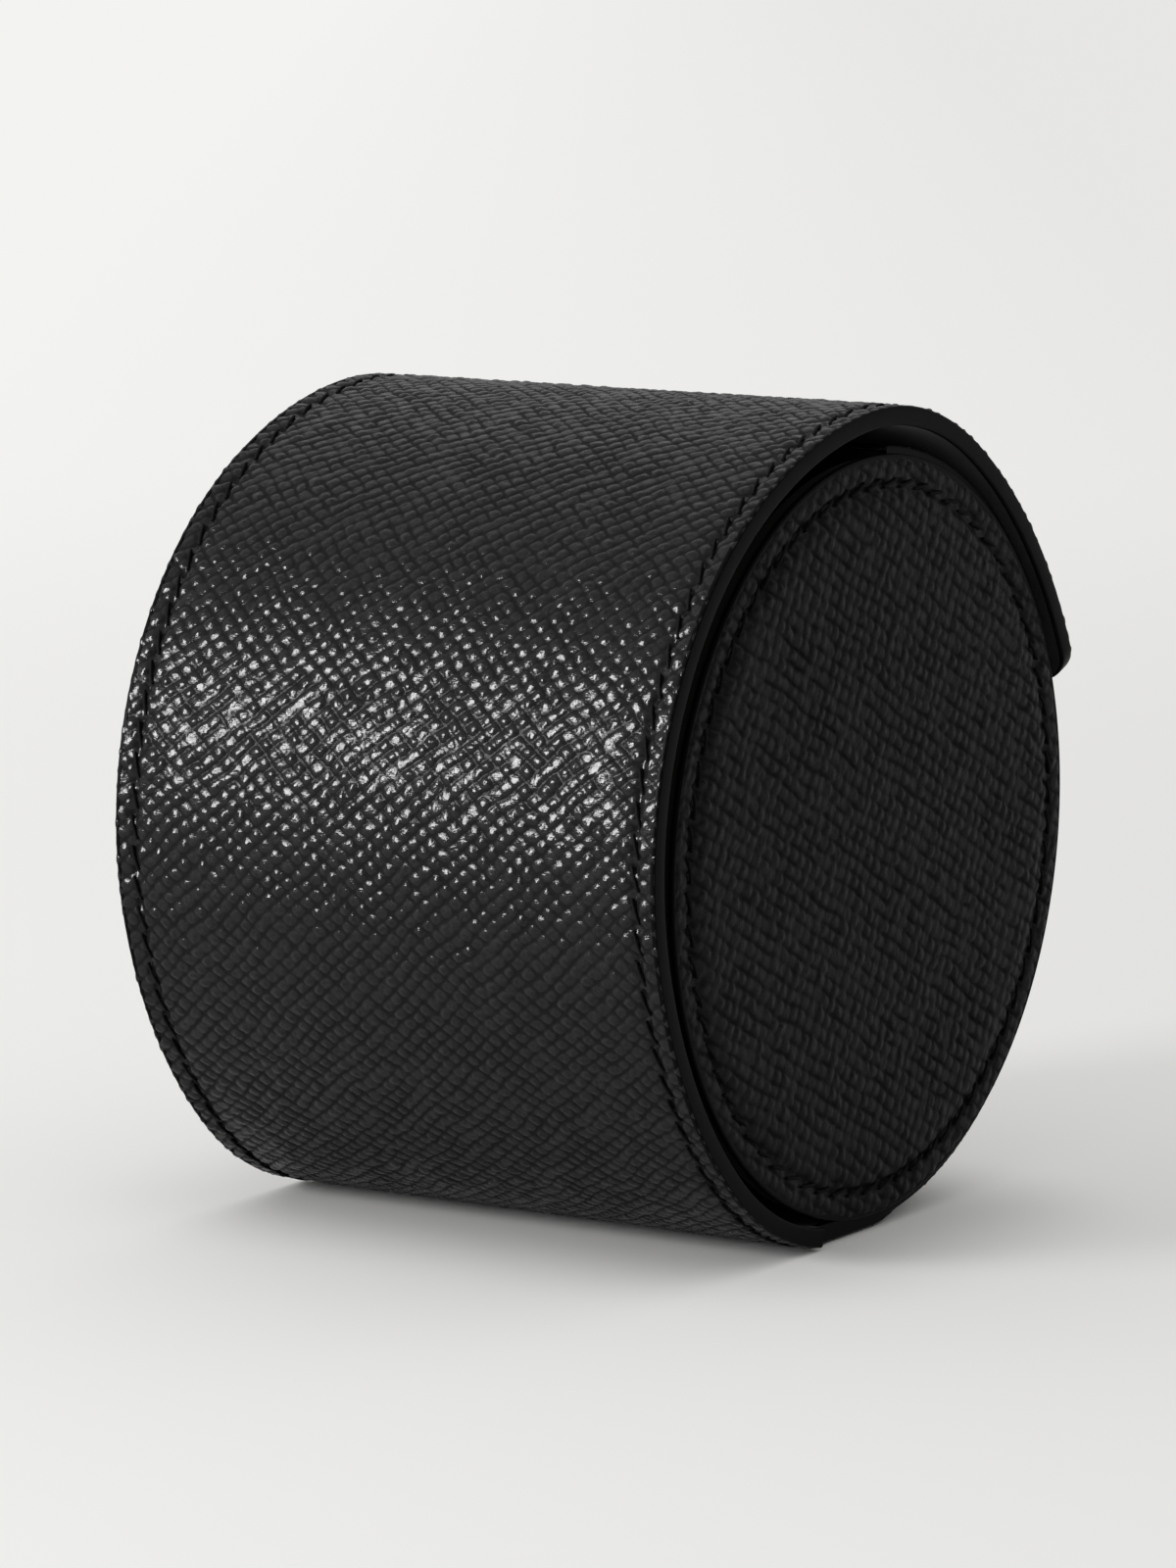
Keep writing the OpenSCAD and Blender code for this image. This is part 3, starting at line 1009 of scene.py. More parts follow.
@dataclass(frozen=True)
class Seam:
    """How the leather lies round a line of stitches."""

    pitch: float = 3.2 * MM
    trough: float = 0.24 * MM
    trough_half: float = 0.42 * MM
    pucker: float = 0.2 * MM
    pucker_half: float = 1.5 * MM

    def dip(self, away: np.ndarray, run: np.ndarray) -> np.ndarray:
        """Depth of the leather near the seam.

        Args:
            away: distance from the line of stitches.
            run: distance along it, 0 at the middle of a stitch.

        Returns:
            Depth below the plain face.
        """
        trough = self.trough * np.exp(-((away / self.trough_half) ** 2))
        hole = 0.5 - 0.5 * np.cos(2 * np.pi * run / self.pitch)
        return trough + self.pucker * hole**2 * np.exp(-((away / self.pucker_half) ** 2))


@dataclass(frozen=True)
class Part:
    """One stretch of the strip, and the bodies that carry it.

    A part with two bodies has the joint between them at joint_s, with reach_before ahead of it and
    reach_after past it.
    """

    name: str
    start: float
    end: float
    bodies: tuple[str, ...]
    joint_s: float = 0.0
    reach_before: float = 2 * MM
    reach_after: float = 4 * MM

    def stations(self, step: float) -> np.ndarray:
        """Distances s from the start to the end, at even steps of about the given length."""
        return np.linspace(self.start, self.end, max(2, round((self.end - self.start) / step)) + 1)


@dataclass
class Strip:
    """The laminate of the cover and of the tray wall, cut where no fold is."""

    section: Section
    finishes: Finishes
    stitches: StitchTree
    grain: CrossGrain = field(default_factory=CrossGrain)
    seam: Seam = field(default_factory=Seam)
    cover_half: float = ROLL_HALF
    wall_half: float = WALL_HALF
    hand_over: float = -5 * MM
    seam_inset: float = 2.3 * MM
    seam_top_gap: float = 2 * MM
    stitch_sink: float = 0.32 * MM
    look_ahead: float = 0.2 * MM
    cover_step: float = 0.19 * MM
    wall_step: float = 0.27 * MM
    edge_band: float = 0.3 * MM
    edge_drop: float = 0.05 * MM
    bead: float = 0.06 * MM
    bead_sink: float = 0.16 * MM
    bead_foot: float = 0.03 * MM
    bead_back: float = 0.4 * MM
    bead_step: float = 0.5 * MM
    board_inset: float = 0.9 * MM
    board_step: float = 1 * MM
    lining_inset: float = 0.45 * MM
    lining_step: float = 0.5 * MM
    layer_columns: int = 9
    tip_corner: float = 3.5 * MM

    def plain_half(self, s: np.ndarray) -> np.ndarray:
        """Half width of the strip without the rounded corners of the flap's tip."""
        return np.where(s < 0, self.wall_half, self.cover_half)

    def half(self, s: np.ndarray) -> np.ndarray:
        """Half width of the strip.

        Args:
            s: distances along the strip.

        Returns:
            The half width at each, which narrows at the corners of the flap's tip.
        """
        past = np.clip(s - (self.section.s_tip - self.tip_corner), 0, self.tip_corner)
        return self.plain_half(s) - (self.tip_corner - np.sqrt(self.tip_corner**2 - past**2))

    def seam_dip(self, s: np.ndarray, x: np.ndarray) -> np.ndarray:
        """Depth of the leather by the seams along both rims and across the flap's tip.

        Args:
            s: distances along the strip.
            x: distances across the strip.

        Returns:
            Depth below the plain face.
        """
        away = np.abs(np.abs(x) - (self.plain_half(s) - self.seam_inset))
        dip = self.seam.dip(away, s)
        across = np.abs(s - (self.section.s_tip - self.seam_inset))
        return np.maximum(dip, self.seam.dip(across, x) * (np.abs(x) < self.cover_half - self.seam_inset))

    def leather(self, part: Part) -> bpy.types.Object:
        """Outer leather of one part, with its grain and its seams.

        Args:
            part: the stretch to cover.

        Returns:
            The new object.
        """
        step = self.cover_step if part.end > 0 else self.wall_step
        s = part.stations(step)[:, None]
        half = self.half(s) - self.bead
        x = half * np.linspace(-1, 1, round(2 * self.cover_half / step) + 1)[None, :]
        s = np.broadcast_to(s, x.shape)
        height, crest = self.grain.relief(s, x)
        edge = np.clip(1 - (half - np.abs(x)) / self.edge_band, 0, 1)
        depth = self.seam_dip(s, x) - height + self.edge_drop * edge**2
        outer = self.section.place(s, x, depth)
        ends = half * np.array([-1.0, 1.0])[None, :]
        inner = self.section.place(s[:, :2], ends, np.full(ends.shape, self.section.laminate.leather))
        obj = slab(f"{part.name}_leather", outer, inner)
        face, back = (np.stack(pair, -1).reshape(-1, 2) for pair in ((s, x), (s[:, :2], ends)))
        add_uv(obj, np.concatenate([face, back]))
        add_crest(obj, np.concatenate([crest.ravel(), np.ones(len(back))]))
        self.even_out(obj, outer, part)
        obj.data.materials.append(self.finishes.leather)
        return obj

    def even_out(self, obj: bpy.types.Object, outer: np.ndarray, part: Part) -> None:
        """Gives the first and last row the normals of the unbroken strip, so that no cut shows.

        Args:
            obj: the leather of the part.
            outer: points of its outer face, as rows x columns x 3.
            part: the stretch that it covers.
        """
        rows, count = outer.shape[:2]
        normals = np.zeros((len(obj.data.vertices), 3), np.float32)
        for row, s in ((0, part.start), (rows - 1, part.end)):
            if not self.section.s_top + MM < s < self.section.s_tip - MM:
                continue
            x = outer[row, :, 0]
            around = [self.surface_at(s + d, x) for d in (-self.cover_step, 0.0, self.cover_step)]
            normal = np.cross(np.gradient(around[1], axis=0), around[2] - around[0])
            normal /= np.linalg.norm(normal, axis=1)[:, None]
            normals[row * count:(row + 1) * count] = normal
        obj.data.normals_split_custom_set_from_vertices(normals)

    def surface_at(self, s: float, x: np.ndarray) -> np.ndarray:
        """Points of the grained face on one line across the strip.

        Args:
            s: distance of the line along the strip.
            x: distances across the strip.

        Returns:
            One point for each distance across.
        """
        s = np.full(x.shape, s)
        height, _ = self.grain.relief(s, x)
        return self.section.place(s, x, self.seam_dip(s, x) - height)

    def layer(
        self, part: Part, kind: str, depths: tuple[float, float], inset: float, step: float
    ) -> bpy.types.Object:
        """Board or lining of one part as a closed slab.

        Args:
            part: the stretch that it lines.
            kind: name of the layer, which is also the name of its finish.
            depths: depths of its two faces.
            inset: distance of its sides from the sides of the strip.
            step: distance between its rows of points.

        Returns:
            The new object.
        """
        s = part.stations(step)[:, None]
        x = (self.half(s) - inset) * np.linspace(-1, 1, self.layer_columns)[None, :]
        outer, inner = (self.section.place(s, x, np.full(x.shape, depth)) for depth in depths)
        obj = slab(f"{part.name}_{kind}", outer, inner)
        obj.data.materials.append(getattr(self.finishes, kind))
        return obj

    def board(self, part: Part) -> bpy.types.Object:
        """Board of one part."""
        depths = self.section.laminate.board_depths
        return self.layer(part, "board", depths, self.board_inset, self.board_step)

    def lining(self, part: Part) -> bpy.types.Object:
        """Lining of one part."""
        depths = self.section.laminate.lining_depths
        return self.layer(part, "lining", depths, self.lining_inset, self.lining_step)

    def bead_profile(self) -> np.ndarray:
        """Outline of the painted edge.

        Returns:
            Points as distance past the side of the leather, and depth.
        """
        r, out = EDGE_ROUND, self.bead
        high, low = self.grain.sink + self.bead_sink, self.section.laminate.total - self.bead_foot
        turn = np.linspace(0, math.pi / 2, EDGE_POINTS)
        top = [(out - r + r * math.sin(a), high + r - r * math.cos(a)) for a in turn]
        foot = [(out - r + r * math.cos(a), low - r + r * math.sin(a)) for a in turn]
        back = [(-self.bead_back, low), (-self.bead_back, high)]
        return np.array(top + foot + back)

    def ends_at_tip(self, part: Part) -> bool:
        """Whether a part ends at the tip of the flap."""
        return part.end >= self.section.s_tip - TINY

    def rim(self, part: Part) -> bpy.types.Object:
        """Painted edge along both sides of a part, and round the tip of the flap.

        Args:
            part: the stretch that it edges.

        Returns:
            The new object.
        """
        profile = self.bead_profile()
        pieces = []
        if self.ends_at_tip(part):
            pieces.append(self.tip_path(part.start))
        else:
            s = part.stations(self.bead_step)
            for sign in (-1, 1):
                x = sign * (self.half(s) - self.bead)
                out = np.stack([np.zeros_like(s), np.full_like(s, sign)], axis=1)
                pieces.append((np.stack([s, x], axis=1), out))
        made = []
        for path, out in pieces:
            at = path[:, None, :] + profile[None, :, :1] * out[:, None, :]
            depth = np.broadcast_to(profile[None, :, 1], at.shape[:2])
            made.append(tube(f"{part.name}_rim", self.section.place(at[..., 0], at[..., 1], depth), False))
        obj = join(made, f"{part.name}_rim")
        obj.data.materials.append(self.finishes.edge)
        return obj

    def tip_path(self, start: float) -> tuple[np.ndarray, np.ndarray]:
        """Line of the painted edge from one rim round the flap's tip to the other rim.

        Args:
            start: distance s at which the line starts and ends.

        Returns:
            Places as s and x, and the direction away from the leather at each.
        """
        side_points, corner_points, end_points = 40, 12, 60
        end = self.section.s_tip - self.bead
        half = self.cover_half - self.bead
        r = self.tip_corner
        side = np.linspace(start, end - r, side_points)
        turn = np.linspace(0, math.pi / 2, corner_points)[1:]
        corner = [(end - r + r * math.sin(a), half - r + r * math.cos(a)) for a in turn]
        right = [(s, half) for s in side] + corner
        out = [(0.0, 1.0) for _ in side] + [(math.sin(a), math.cos(a)) for a in turn]
        across = [(end, x) for x in np.linspace(half - r, r - half, end_points)[1:-1]]
        left = [(s, -x) for s, x in right[::-1]]
        outs = out + [(1.0, 0.0)] * len(across) + [(a, -b) for a, b in out[::-1]]
        return np.array(right + across + left), np.array(outs)

    def thread(self, part: Part) -> bpy.types.Object:
        """Stitches along both rims of a part, and across the tip of the flap.

        Args:
            part: the stretch that they sew.

        Returns:
            The new object.
        """
        pitch = self.seam.pitch
        numbers = np.arange(math.ceil(part.start / pitch - TINY), math.ceil(part.end / pitch - TINY))
        low, high = self.section.s_top + self.seam_top_gap, self.section.s_tip - self.seam_inset
        s = np.array([n * pitch for n in numbers if low < n * pitch < high - pitch / 2])
        rows = []
        for sign in (-1, 1):
            inner = self.cover_half if part.end > 0 else self.wall_half
            rows += [(a, sign * (inner - self.seam_inset), 0) for a in s]
        if self.ends_at_tip(part):
            reach = self.cover_half - self.seam_inset
            count = int(reach / pitch)
            rows += [(high, n * pitch, 1) for n in range(-count, count + 1)]
        rows = np.array(rows)
        sink = np.full(len(rows), self.grain.sink + self.stitch_sink)
        base = self.section.place(rows[:, 0], rows[:, 1], sink)
        ahead = self.section.place(rows[:, 0] + self.look_ahead, rows[:, 1], sink)
        run = (ahead - base) / np.linalg.norm(ahead - base, axis=1)[:, None]
        across = np.tile([1.0, 0.0, 0.0], (len(rows), 1))
        up = np.cross(across, run)
        run = np.where(rows[:, 2:3] > 0.5, across, run)
        return self.stitches.row(f"{part.name}_stitches", base, run, up)

    def carry(self, obj: bpy.types.Object, part: Part, node: str | None) -> None:
        """Puts a finished piece on its body, or, for a part between two bodies, bakes its place into its
        mesh.

        Args:
            obj: the piece.
            part: the stretch that it belongs to.
            node: the CAD node that it stands for, if there is one.
        """
        if len(part.bodies) == 1:
            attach(obj, part.bodies[0])
        else:
            start = self.section.point(part.joint_s - part.reach_before)
            end = self.section.point(part.joint_s + part.reach_after)
            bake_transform(obj)
        if node:
            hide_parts(node)

    def build(self, part: Part, names: dict[str, str]) -> list[bpy.types.Object]:
        """Makes all layers of one part.

        Args:
            part: the stretch to build.
            names: the CAD node that each layer stands for.

        Returns:
            The finished pieces.
        """
        pieces = []
        for layer in ("leather", "board", "lining", "rim", "thread"):
            obj = getattr(self, layer)(part)
            self.carry(obj, part, names.get(layer))
            pieces.append(obj)
        return pieces


@dataclass
class Cover:
    """The cover from the crease to the flap, in parts cut in the middle of each segment."""

    strip: Strip

    def parts(self) -> list[tuple[Part, int]]:
        """Cuts the cover into parts in the middle of each segment.

        Returns:
            The parts, each with the number of the segment whose nodes it stands for.
        """
        section = self.strip.section
        last = len(section.bends)
        crease = Part("crease", self.strip.hand_over, section.middle(1), ("tray", "cover_1"))
        made = [(crease, 0)]
        for k in range(1, last):
            bodies = (f"cover_{k}", f"cover_{k + 1}")
            start, fold, end = section.middle(k), section.folds[k], section.middle(k + 1)
            made.append((Part(f"fold_{k}", start, end, bodies, fold, fold - start, end - fold), k))
        made.append((Part("flap", section.middle(last), section.s_tip, (f"cover_{last}",)), last))
        return made

    def build(self) -> list[bpy.types.Object]:
        """Makes every part of the cover, and dresses the magnets.

        Returns:
            The finished pieces.
        """
        pieces = []
        for part, k in self.parts():
            names = {layer: f"cover_{layer}_{k}" for layer in LAYERS} if k else {}
            pieces += self.strip.build(part, names)
        dress_node("flap_magnets", self.strip.finishes.nickel)
        return pieces


@dataclass
class Tray:
    """The wall of the tray, from its top edge to the crease's part."""

    strip: Strip

    def build(self) -> list[bpy.types.Object]:
        """Makes the wall in two halves, so that each mesh stays light, and dresses the steel plate.

        Returns:
            The finished pieces.
        """
        top, end = self.strip.section.s_top, self.strip.hand_over
        cut = (top + end) / 2
        names = {layer: f"tray_{layer}" for layer in LAYERS}
        pieces = self.strip.build(Part("wall_top", top, cut, ("tray",)), {})
        pieces += self.strip.build(Part("wall_foot", cut, end, ("tray",)), names)
        dress_node("keeper_plate", self.strip.finishes.steel)
        return pieces


# End discs


@dataclass
class EndDisc:
    """One end of the roll: a padded leather face, its painted edge, board and lining."""

    side: Side
    finishes: Finishes
    stitches: StitchTree
    seam: Seam = field(default_factory=lambda: Seam(pucker=0.15 * MM))
    grain: CrossGrain = field(
        default_factory=lambda: CrossGrain(
            first_angle=28.0, second_angle=118.0, seed=21, pitch=1.6 * MM, depth=0.28 * MM, first_depth=0.62
        )
    )
    radius: float = 39 * MM
    face_x: float = ROLL_HALF
    back_x: float = WALL_HALF
    axis_h: float = AXIS_H
    inset: float = 2.9 * MM
    stitch_sink: float = 0.26 * MM
    bead: float = 0.12 * MM
    bead_sink: float = 0.35 * MM
    bead_back: float = 0.9 * MM
    bead_lip: float = 0.1 * MM
    margin_drop: float = 0.25 * MM
    margin_slope: float = 2.5 * MM
    shoulder: float = 0.9 * MM
    shoulder_drop: float = 0.3 * MM
    lining_slack: float = 0.06 * MM
    lining_cell: float = 7 * MM
    lining_flat: float = 0.975
    lining_round: float = 0.35 * MM
    lining_seed: int = 31
    cells: int = 300
    lining_cells: int = 90

    @property
    def seam_r(self) -> float:
        """Radius of the ring of stitches."""
        return self.radius - self.inset

    @property
    def stitch_count(self) -> int:
        """Number of stitches in the ring."""
        return round(2 * math.pi * self.seam_r / self.seam.pitch)

    @staticmethod
    def stretched(cells: int) -> tuple[np.ndarray, np.ndarray]:
        """Grid over a round face: quads whose outer row lies on the edge.

        Args:
            cells: how many quads lie side by side.

        Returns:
            Distances towards +Y and +Z, as shares of the radius.
        """
        line = np.linspace(-1, 1, cells + 1)
        a, b = np.meshgrid(line, line, indexing="ij")
        flat = np.abs(a) > np.abs(b)
        safe_a, safe_b = np.where(a == 0, 1, a), np.where(b == 0, 1, b)
        turn = np.where(flat, math.pi / 4 * b / safe_a, math.pi / 2 - math.pi / 4 * a / safe_b)
        r = np.where(flat, a, b)
        return r * np.cos(turn), r * np.sin(turn)

    def depth(self, y: np.ndarray, z: np.ndarray) -> tuple[np.ndarray, np.ndarray]:
        """Depth of the leather below the face's highest plane.

        Args:
            y: distances from the disc's middle towards +Y.
            z: distances from the disc's middle towards +Z.

        Returns:
            The depth, and the grain's crest value.
        """
        r, turn = np.hypot(y, z), np.arctan2(z, y)
        run = turn * self.stitch_count * self.seam.pitch / (2 * math.pi)
        height, crest = self.grain.relief(y, z)
        dip = self.seam.dip(np.abs(r - self.seam_r), run)
        share = np.clip((r - self.seam_r + self.margin_slope) / self.margin_slope, 0, 1)
        dip = dip + self.margin_drop * share * share * (3 - 2 * share)
        past = np.clip(r - (self.radius - self.bead - self.shoulder), 0, self.shoulder) / self.shoulder
        return dip + self.shoulder_drop * past**2 - height, crest

    @staticmethod
    def closed_disc(name: str, front: np.ndarray, back_x: float) -> tuple[bpy.types.Object, np.ndarray]:
        """Closes a round face with a wall and a flat back.

        Args:
            name: name of the piece.
            front: points of the face, as a square grid from stretched.
            back_x: X of the flat back.

        Returns:
            The new object, and the numbers of the points on the face's edge.
        """
        n = len(front)
        at = np.arange(n * n).reshape(n, n)
        ring = np.concatenate([at[:-1, 0], at[-1, :-1], at[:0:-1, -1], at[0, :0:-1]])
        back = front.reshape(-1, 3)[ring].copy()
        back[:, 0] = back_x
        low = n * n + np.arange(len(ring))
        quads = np.stack([at[:-1, :-1], at[1:, :-1], at[1:, 1:], at[:-1, 1:]], axis=-1).reshape(-1, 4)
        walls = np.stack([ring, low, np.roll(low, -1), np.roll(ring, -1)], axis=1)
        faces = [quads, walls, low[::-1][None]]
        if front[0, 0, 0] < back_x:
            faces = [f[:, ::-1] for f in faces]
        return make_mesh(name, np.concatenate([front.reshape(-1, 3), back]), faces), ring

    def face(self) -> bpy.types.Object:
        """Leather face as a closed disc.

        Returns:
            The new object.
        """
        a, b = self.stretched(self.cells)
        reach = self.radius - self.bead
        y, z = a * reach, b * reach
        depth, crest = self.depth(y, z)
        sign = self.side.value
        front = np.stack([sign * (self.face_x - depth), y, z + self.axis_h], axis=-1)
        obj, ring = self.closed_disc(f"{self.side.label}_disc_leather", front, sign * self.back_x)
        flat = np.stack([y, z], axis=-1).reshape(-1, 2)
        add_uv(obj, np.concatenate([flat, flat[ring]]))
        add_crest(obj, np.concatenate([crest.ravel(), np.ones(len(ring))]))
        obj.data.materials.append(self.finishes.end_leather)
        return obj

    def lining(self) -> bpy.types.Object:
        """Napped inner face of the end, glued down a little unevenly and rounded at its rim.

        Returns:
            The new object.
        """
        low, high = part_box(f"{self.side.label}_end_lining")
        inner, outer = sorted((low.x, high.x), key=abs)
        a, b = self.stretched(self.lining_cells)
        y, z = a * high.y, b * high.y
        rim = np.clip((np.hypot(a, b) - self.lining_flat) / (1 - self.lining_flat), 0, 1)
        slack = self.lining_slack * (1 - Noise(self.lining_seed).at(y, z, self.lining_cell))
        x = inner + self.side.value * (slack + self.lining_round * rim * rim)
        front = np.stack([x, y, z + self.axis_h], axis=-1)
        obj, _ = self.closed_disc(f"{self.side.label}_disc_lining", front, outer)
        obj.data.materials.append(self.finishes.lining)
        return obj

    def ring(self, name: str, profile: np.ndarray, steps: int = 240) -> bpy.types.Object:
        """Ring swept round the disc.

        Args:
            name: name of the piece.
            profile: outline of the ring, as X and radius.
            steps: number of outlines round the disc.

        Returns:
            The new object.
        """
        turn = np.linspace(0, 2 * math.pi, steps, endpoint=False)[:, None]
        x = np.broadcast_to(self.side.value * profile[None, :, 0], (steps, len(profile)))
        r = profile[None, :, 1]
        return tube(name, np.stack([x, r * np.cos(turn), r * np.sin(turn) + self.axis_h], -1), True)

    def edge(self) -> bpy.types.Object:
        """Painted edge round the leather face.

        Returns:
            The new object.
        """
        r, top, low = EDGE_ROUND, self.face_x - self.margin_drop - self.bead_sink, self.back_x
        out, back = self.radius, self.radius - self.bead_back
        turn = np.linspace(0, math.pi / 2, EDGE_POINTS)
        crown = [(top - r + r * math.cos(a), out - r + r * math.sin(a)) for a in turn]
        profile = crown + [(low, out), (low, back), (top - self.bead_lip, back)]
        obj = self.ring(f"{self.side.label}_disc_edge", np.array(profile))
        obj.data.materials.append(self.finishes.edge)
        return obj

    def thread(self) -> bpy.types.Object:
        """Ring of stitches.

        Returns:
            The new object.
        """
        count, sign = self.stitch_count, self.side.value
        turn = np.arange(count) * 2 * math.pi / count
        x = np.full(count, sign * (self.face_x - self.margin_drop - self.grain.sink - self.stitch_sink))
        y, z = self.seam_r * np.cos(turn), self.seam_r * np.sin(turn)
        places = np.stack([x, y, z + self.axis_h], axis=1)
        runs = np.stack([np.zeros(count), -np.sin(turn), np.cos(turn)], axis=1)
        ups = np.tile([float(sign), 0.0, 0.0], (count, 1))
        return self.stitches.row(f"{self.side.label}_disc_stitches", places, runs, ups)

    def build(self) -> list[bpy.types.Object]:
        """Makes the edge, face, stitches and lining, and dresses the board.

        Returns:
            The finished pieces.
        """
        pieces = {
            "edge": self.edge(),
            "leather": self.face(),
            "thread": self.thread(),
            "lining": self.lining(),
        }
        for kind, obj in pieces.items():
            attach(obj, "tray")
            if kind != "edge":
                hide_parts(f"{self.side.label}_end_{kind}")
        dress_node(f"{self.side.label}_end_board", self.finishes.board)
        return list(pieces.values())


# Cushion


@dataclass
class Cushion:
    """Soft oval cushion that a watch is strapped round, with a welt at each end.

    The crown is the shape of the blank from one end to the middle: places along the half length,
    and how far the blank lies inside the oval at each.
    """

    finishes: Finishes
    depth: float = 48 * MM
    height: float = 60 * MM
    half: float = 28.5 * MM
    crown: tuple[tuple[float, float], ...] = (
        (-1.0, 7 * MM),
        (-0.99, 3.5 * MM),
        (-0.96, 1.7 * MM),
        (-0.9, 0.9 * MM),
        (-0.6, 0.25 * MM),
        (0.0, 0.0),
    )
    voxel: float = 2.0 * MM
    shrink: float = 1.1 * MM
    pressure: float = 4.0
    frames: int = 20
    cap: float = 1.6 * MM
    side_steepness: float = 3.0
    blank_points: int = 96
    welt_r: float = 0.95 * MM
    welt_inset: float = 2.0 * MM
    welt_back: float = 2.6 * MM
    welt_points: int = 160
    welt_sides: int = 12
    middle: Vector = field(init=False)

    def __post_init__(self) -> None:
        """Takes the cushion's middle from its CAD node."""
        low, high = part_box("cushion_sleeve")
        self.middle = (Vector(low) + Vector(high)) / 2

    def outline(self, inset: float, count: int) -> np.ndarray:
        """Points round the oval.

        Args:
            inset: distance inside its edge.
            count: number of points.

        Returns:
            The points as Y and Z. The sides between the two round ends are nearly straight.
        """
        r = self.depth / 2 - inset
        rise = self.height / 2 - self.depth / 2
        turn = np.linspace(0, 2 * math.pi, count, endpoint=False)
        y = r * np.cos(turn)
        z = r * np.sin(turn) + rise * np.clip(np.sin(turn) * self.side_steepness, -1, 1)
        return np.stack([self.middle.y + y, self.middle.z + z], axis=1)

    def blank(self) -> bpy.types.Object:
        """Slightly small closed oval with rounded ends, before it is filled.

        Returns:
            The new object.
        """
        rings = []
        for share, inset in self.crown + tuple((-a, b) for a, b in self.crown[-2::-1]):
            ring = self.outline(self.shrink + inset, self.blank_points)
            x = np.full((len(ring), 1), share * (self.half - self.shrink))
            rings.append(np.concatenate([x, ring], axis=1))
        return tube("cushion_cover", np.array(rings), False)

    def fill(self, obj: bpy.types.Object) -> None:
        """Blows the blank up as cloth, within a cap, and applies the result.

        Args:
            obj: the blank.
        """
        remesh = obj.modifiers.new("remesh", "REMESH")
        remesh.mode, remesh.voxel_size = "VOXEL", self.voxel
        apply_modifiers(obj)
        rest = np.array([v.co for v in obj.data.vertices])
        cloth = obj.modifiers.new("cloth", "CLOTH")
        cloth.settings.use_pressure = True
        cloth.settings.uniform_pressure_force = self.pressure
        cloth.settings.effector_weights.gravity = 0
        for number in range(1, self.frames + 1):
            bpy.context.scene.frame_set(number)
        apply_modifiers(obj)
        moved = np.array([v.co for v in obj.data.vertices]) - rest
        far = np.linalg.norm(moved, axis=1)[:, None]
        moved *= np.minimum(1, self.cap / np.maximum(far, TINY))
        obj.data.vertices.foreach_set("co", (rest + moved).astype(np.float32).ravel())
        bpy.context.scene.frame_set(1)

    def build(self) -> list[bpy.types.Object]:
        """Makes the cushion and its welts.

        Returns:
            The finished pieces.
        """
        obj = self.blank()
        self.fill(obj)
        smooth = obj.modifiers.new("smooth", "SUBSURF")
        smooth.levels = smooth.render_levels = 1
        apply_modifiers(obj)
        obj.data.polygons.foreach_set("use_smooth", np.ones(len(obj.data.polygons), bool))
        obj.data.materials.clear()
        obj.data.materials.append(self.finishes.suede)
        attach(obj, "cushion")
        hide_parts("cushion_foam", "cushion_sleeve", "cushion_left_end", "cushion_right_end")
        welts = [self.welt(side) for side in Side]
        for welt in welts:
            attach(welt, "cushion")
        return [obj, *welts]

    def welt(self, side: Side) -> bpy.types.Object:
        """Corded seam round one end of the cushion.

        Args:
            side: the end.

        Returns:
            The new object.
        """
        path = self.outline(self.welt_inset, self.welt_points)
        ahead = np.roll(path, -1, axis=0) - np.roll(path, 1, axis=0)
        ahead /= np.linalg.norm(ahead, axis=1)[:, None]
        out = np.stack([ahead[:, 1], -ahead[:, 0]], axis=1)
        turn = np.linspace(0, 2 * math.pi, self.welt_sides, endpoint=False)
        x = side.value * (self.half - self.welt_back)
        rings = np.zeros((len(path), len(turn), 3))
        rings[..., 0] = x + self.welt_r * np.cos(turn)[None]
        rings[..., 1:] = path[:, None] + self.welt_r * np.sin(turn)[None, :, None] * out[:, None]
        obj = tube(f"cushion_{side.label}_welt", rings, True)
        obj.data.materials.append(self.finishes.suede)
        return obj


# Studio


@dataclass(frozen=True)
class Lamp:
    """A soft rectangular lamp, whose place and target are in metres."""

    name: str
    place: tuple[float, float, float]
    size: tuple[float, float]
    watts: float
    target: tuple[float, float, float]
    on_floor: bool = True

    def light(self, floor: bpy.types.Object) -> None:
        """Adds the lamp to the scene, turned towards its target.

        Args:
            floor: the floor, which a lamp with on_floor off doesn't light.
        """
        data = bpy.data.lights.new(self.name, "AREA")
        data.shape = "RECTANGLE"
        data.size, data.size_y = self.size
        data.energy = self.watts
        obj = bpy.data.objects.new(self.name, data)
        obj.location = self.place
        obj.rotation_euler = (Vector(self.target) - Vector(self.place)).to_track_quat("-Z", "Y").to_euler()
        bpy.context.scene.collection.objects.link(obj)
        if not self.on_floor:
            spared = bpy.data.collections.new(f"{self.name}_spares")
            spared.objects.link(floor)
            spared.collection_objects[0].light_linking.link_state = "EXCLUDE"
            obj.light_linking.receiver_collection = spared


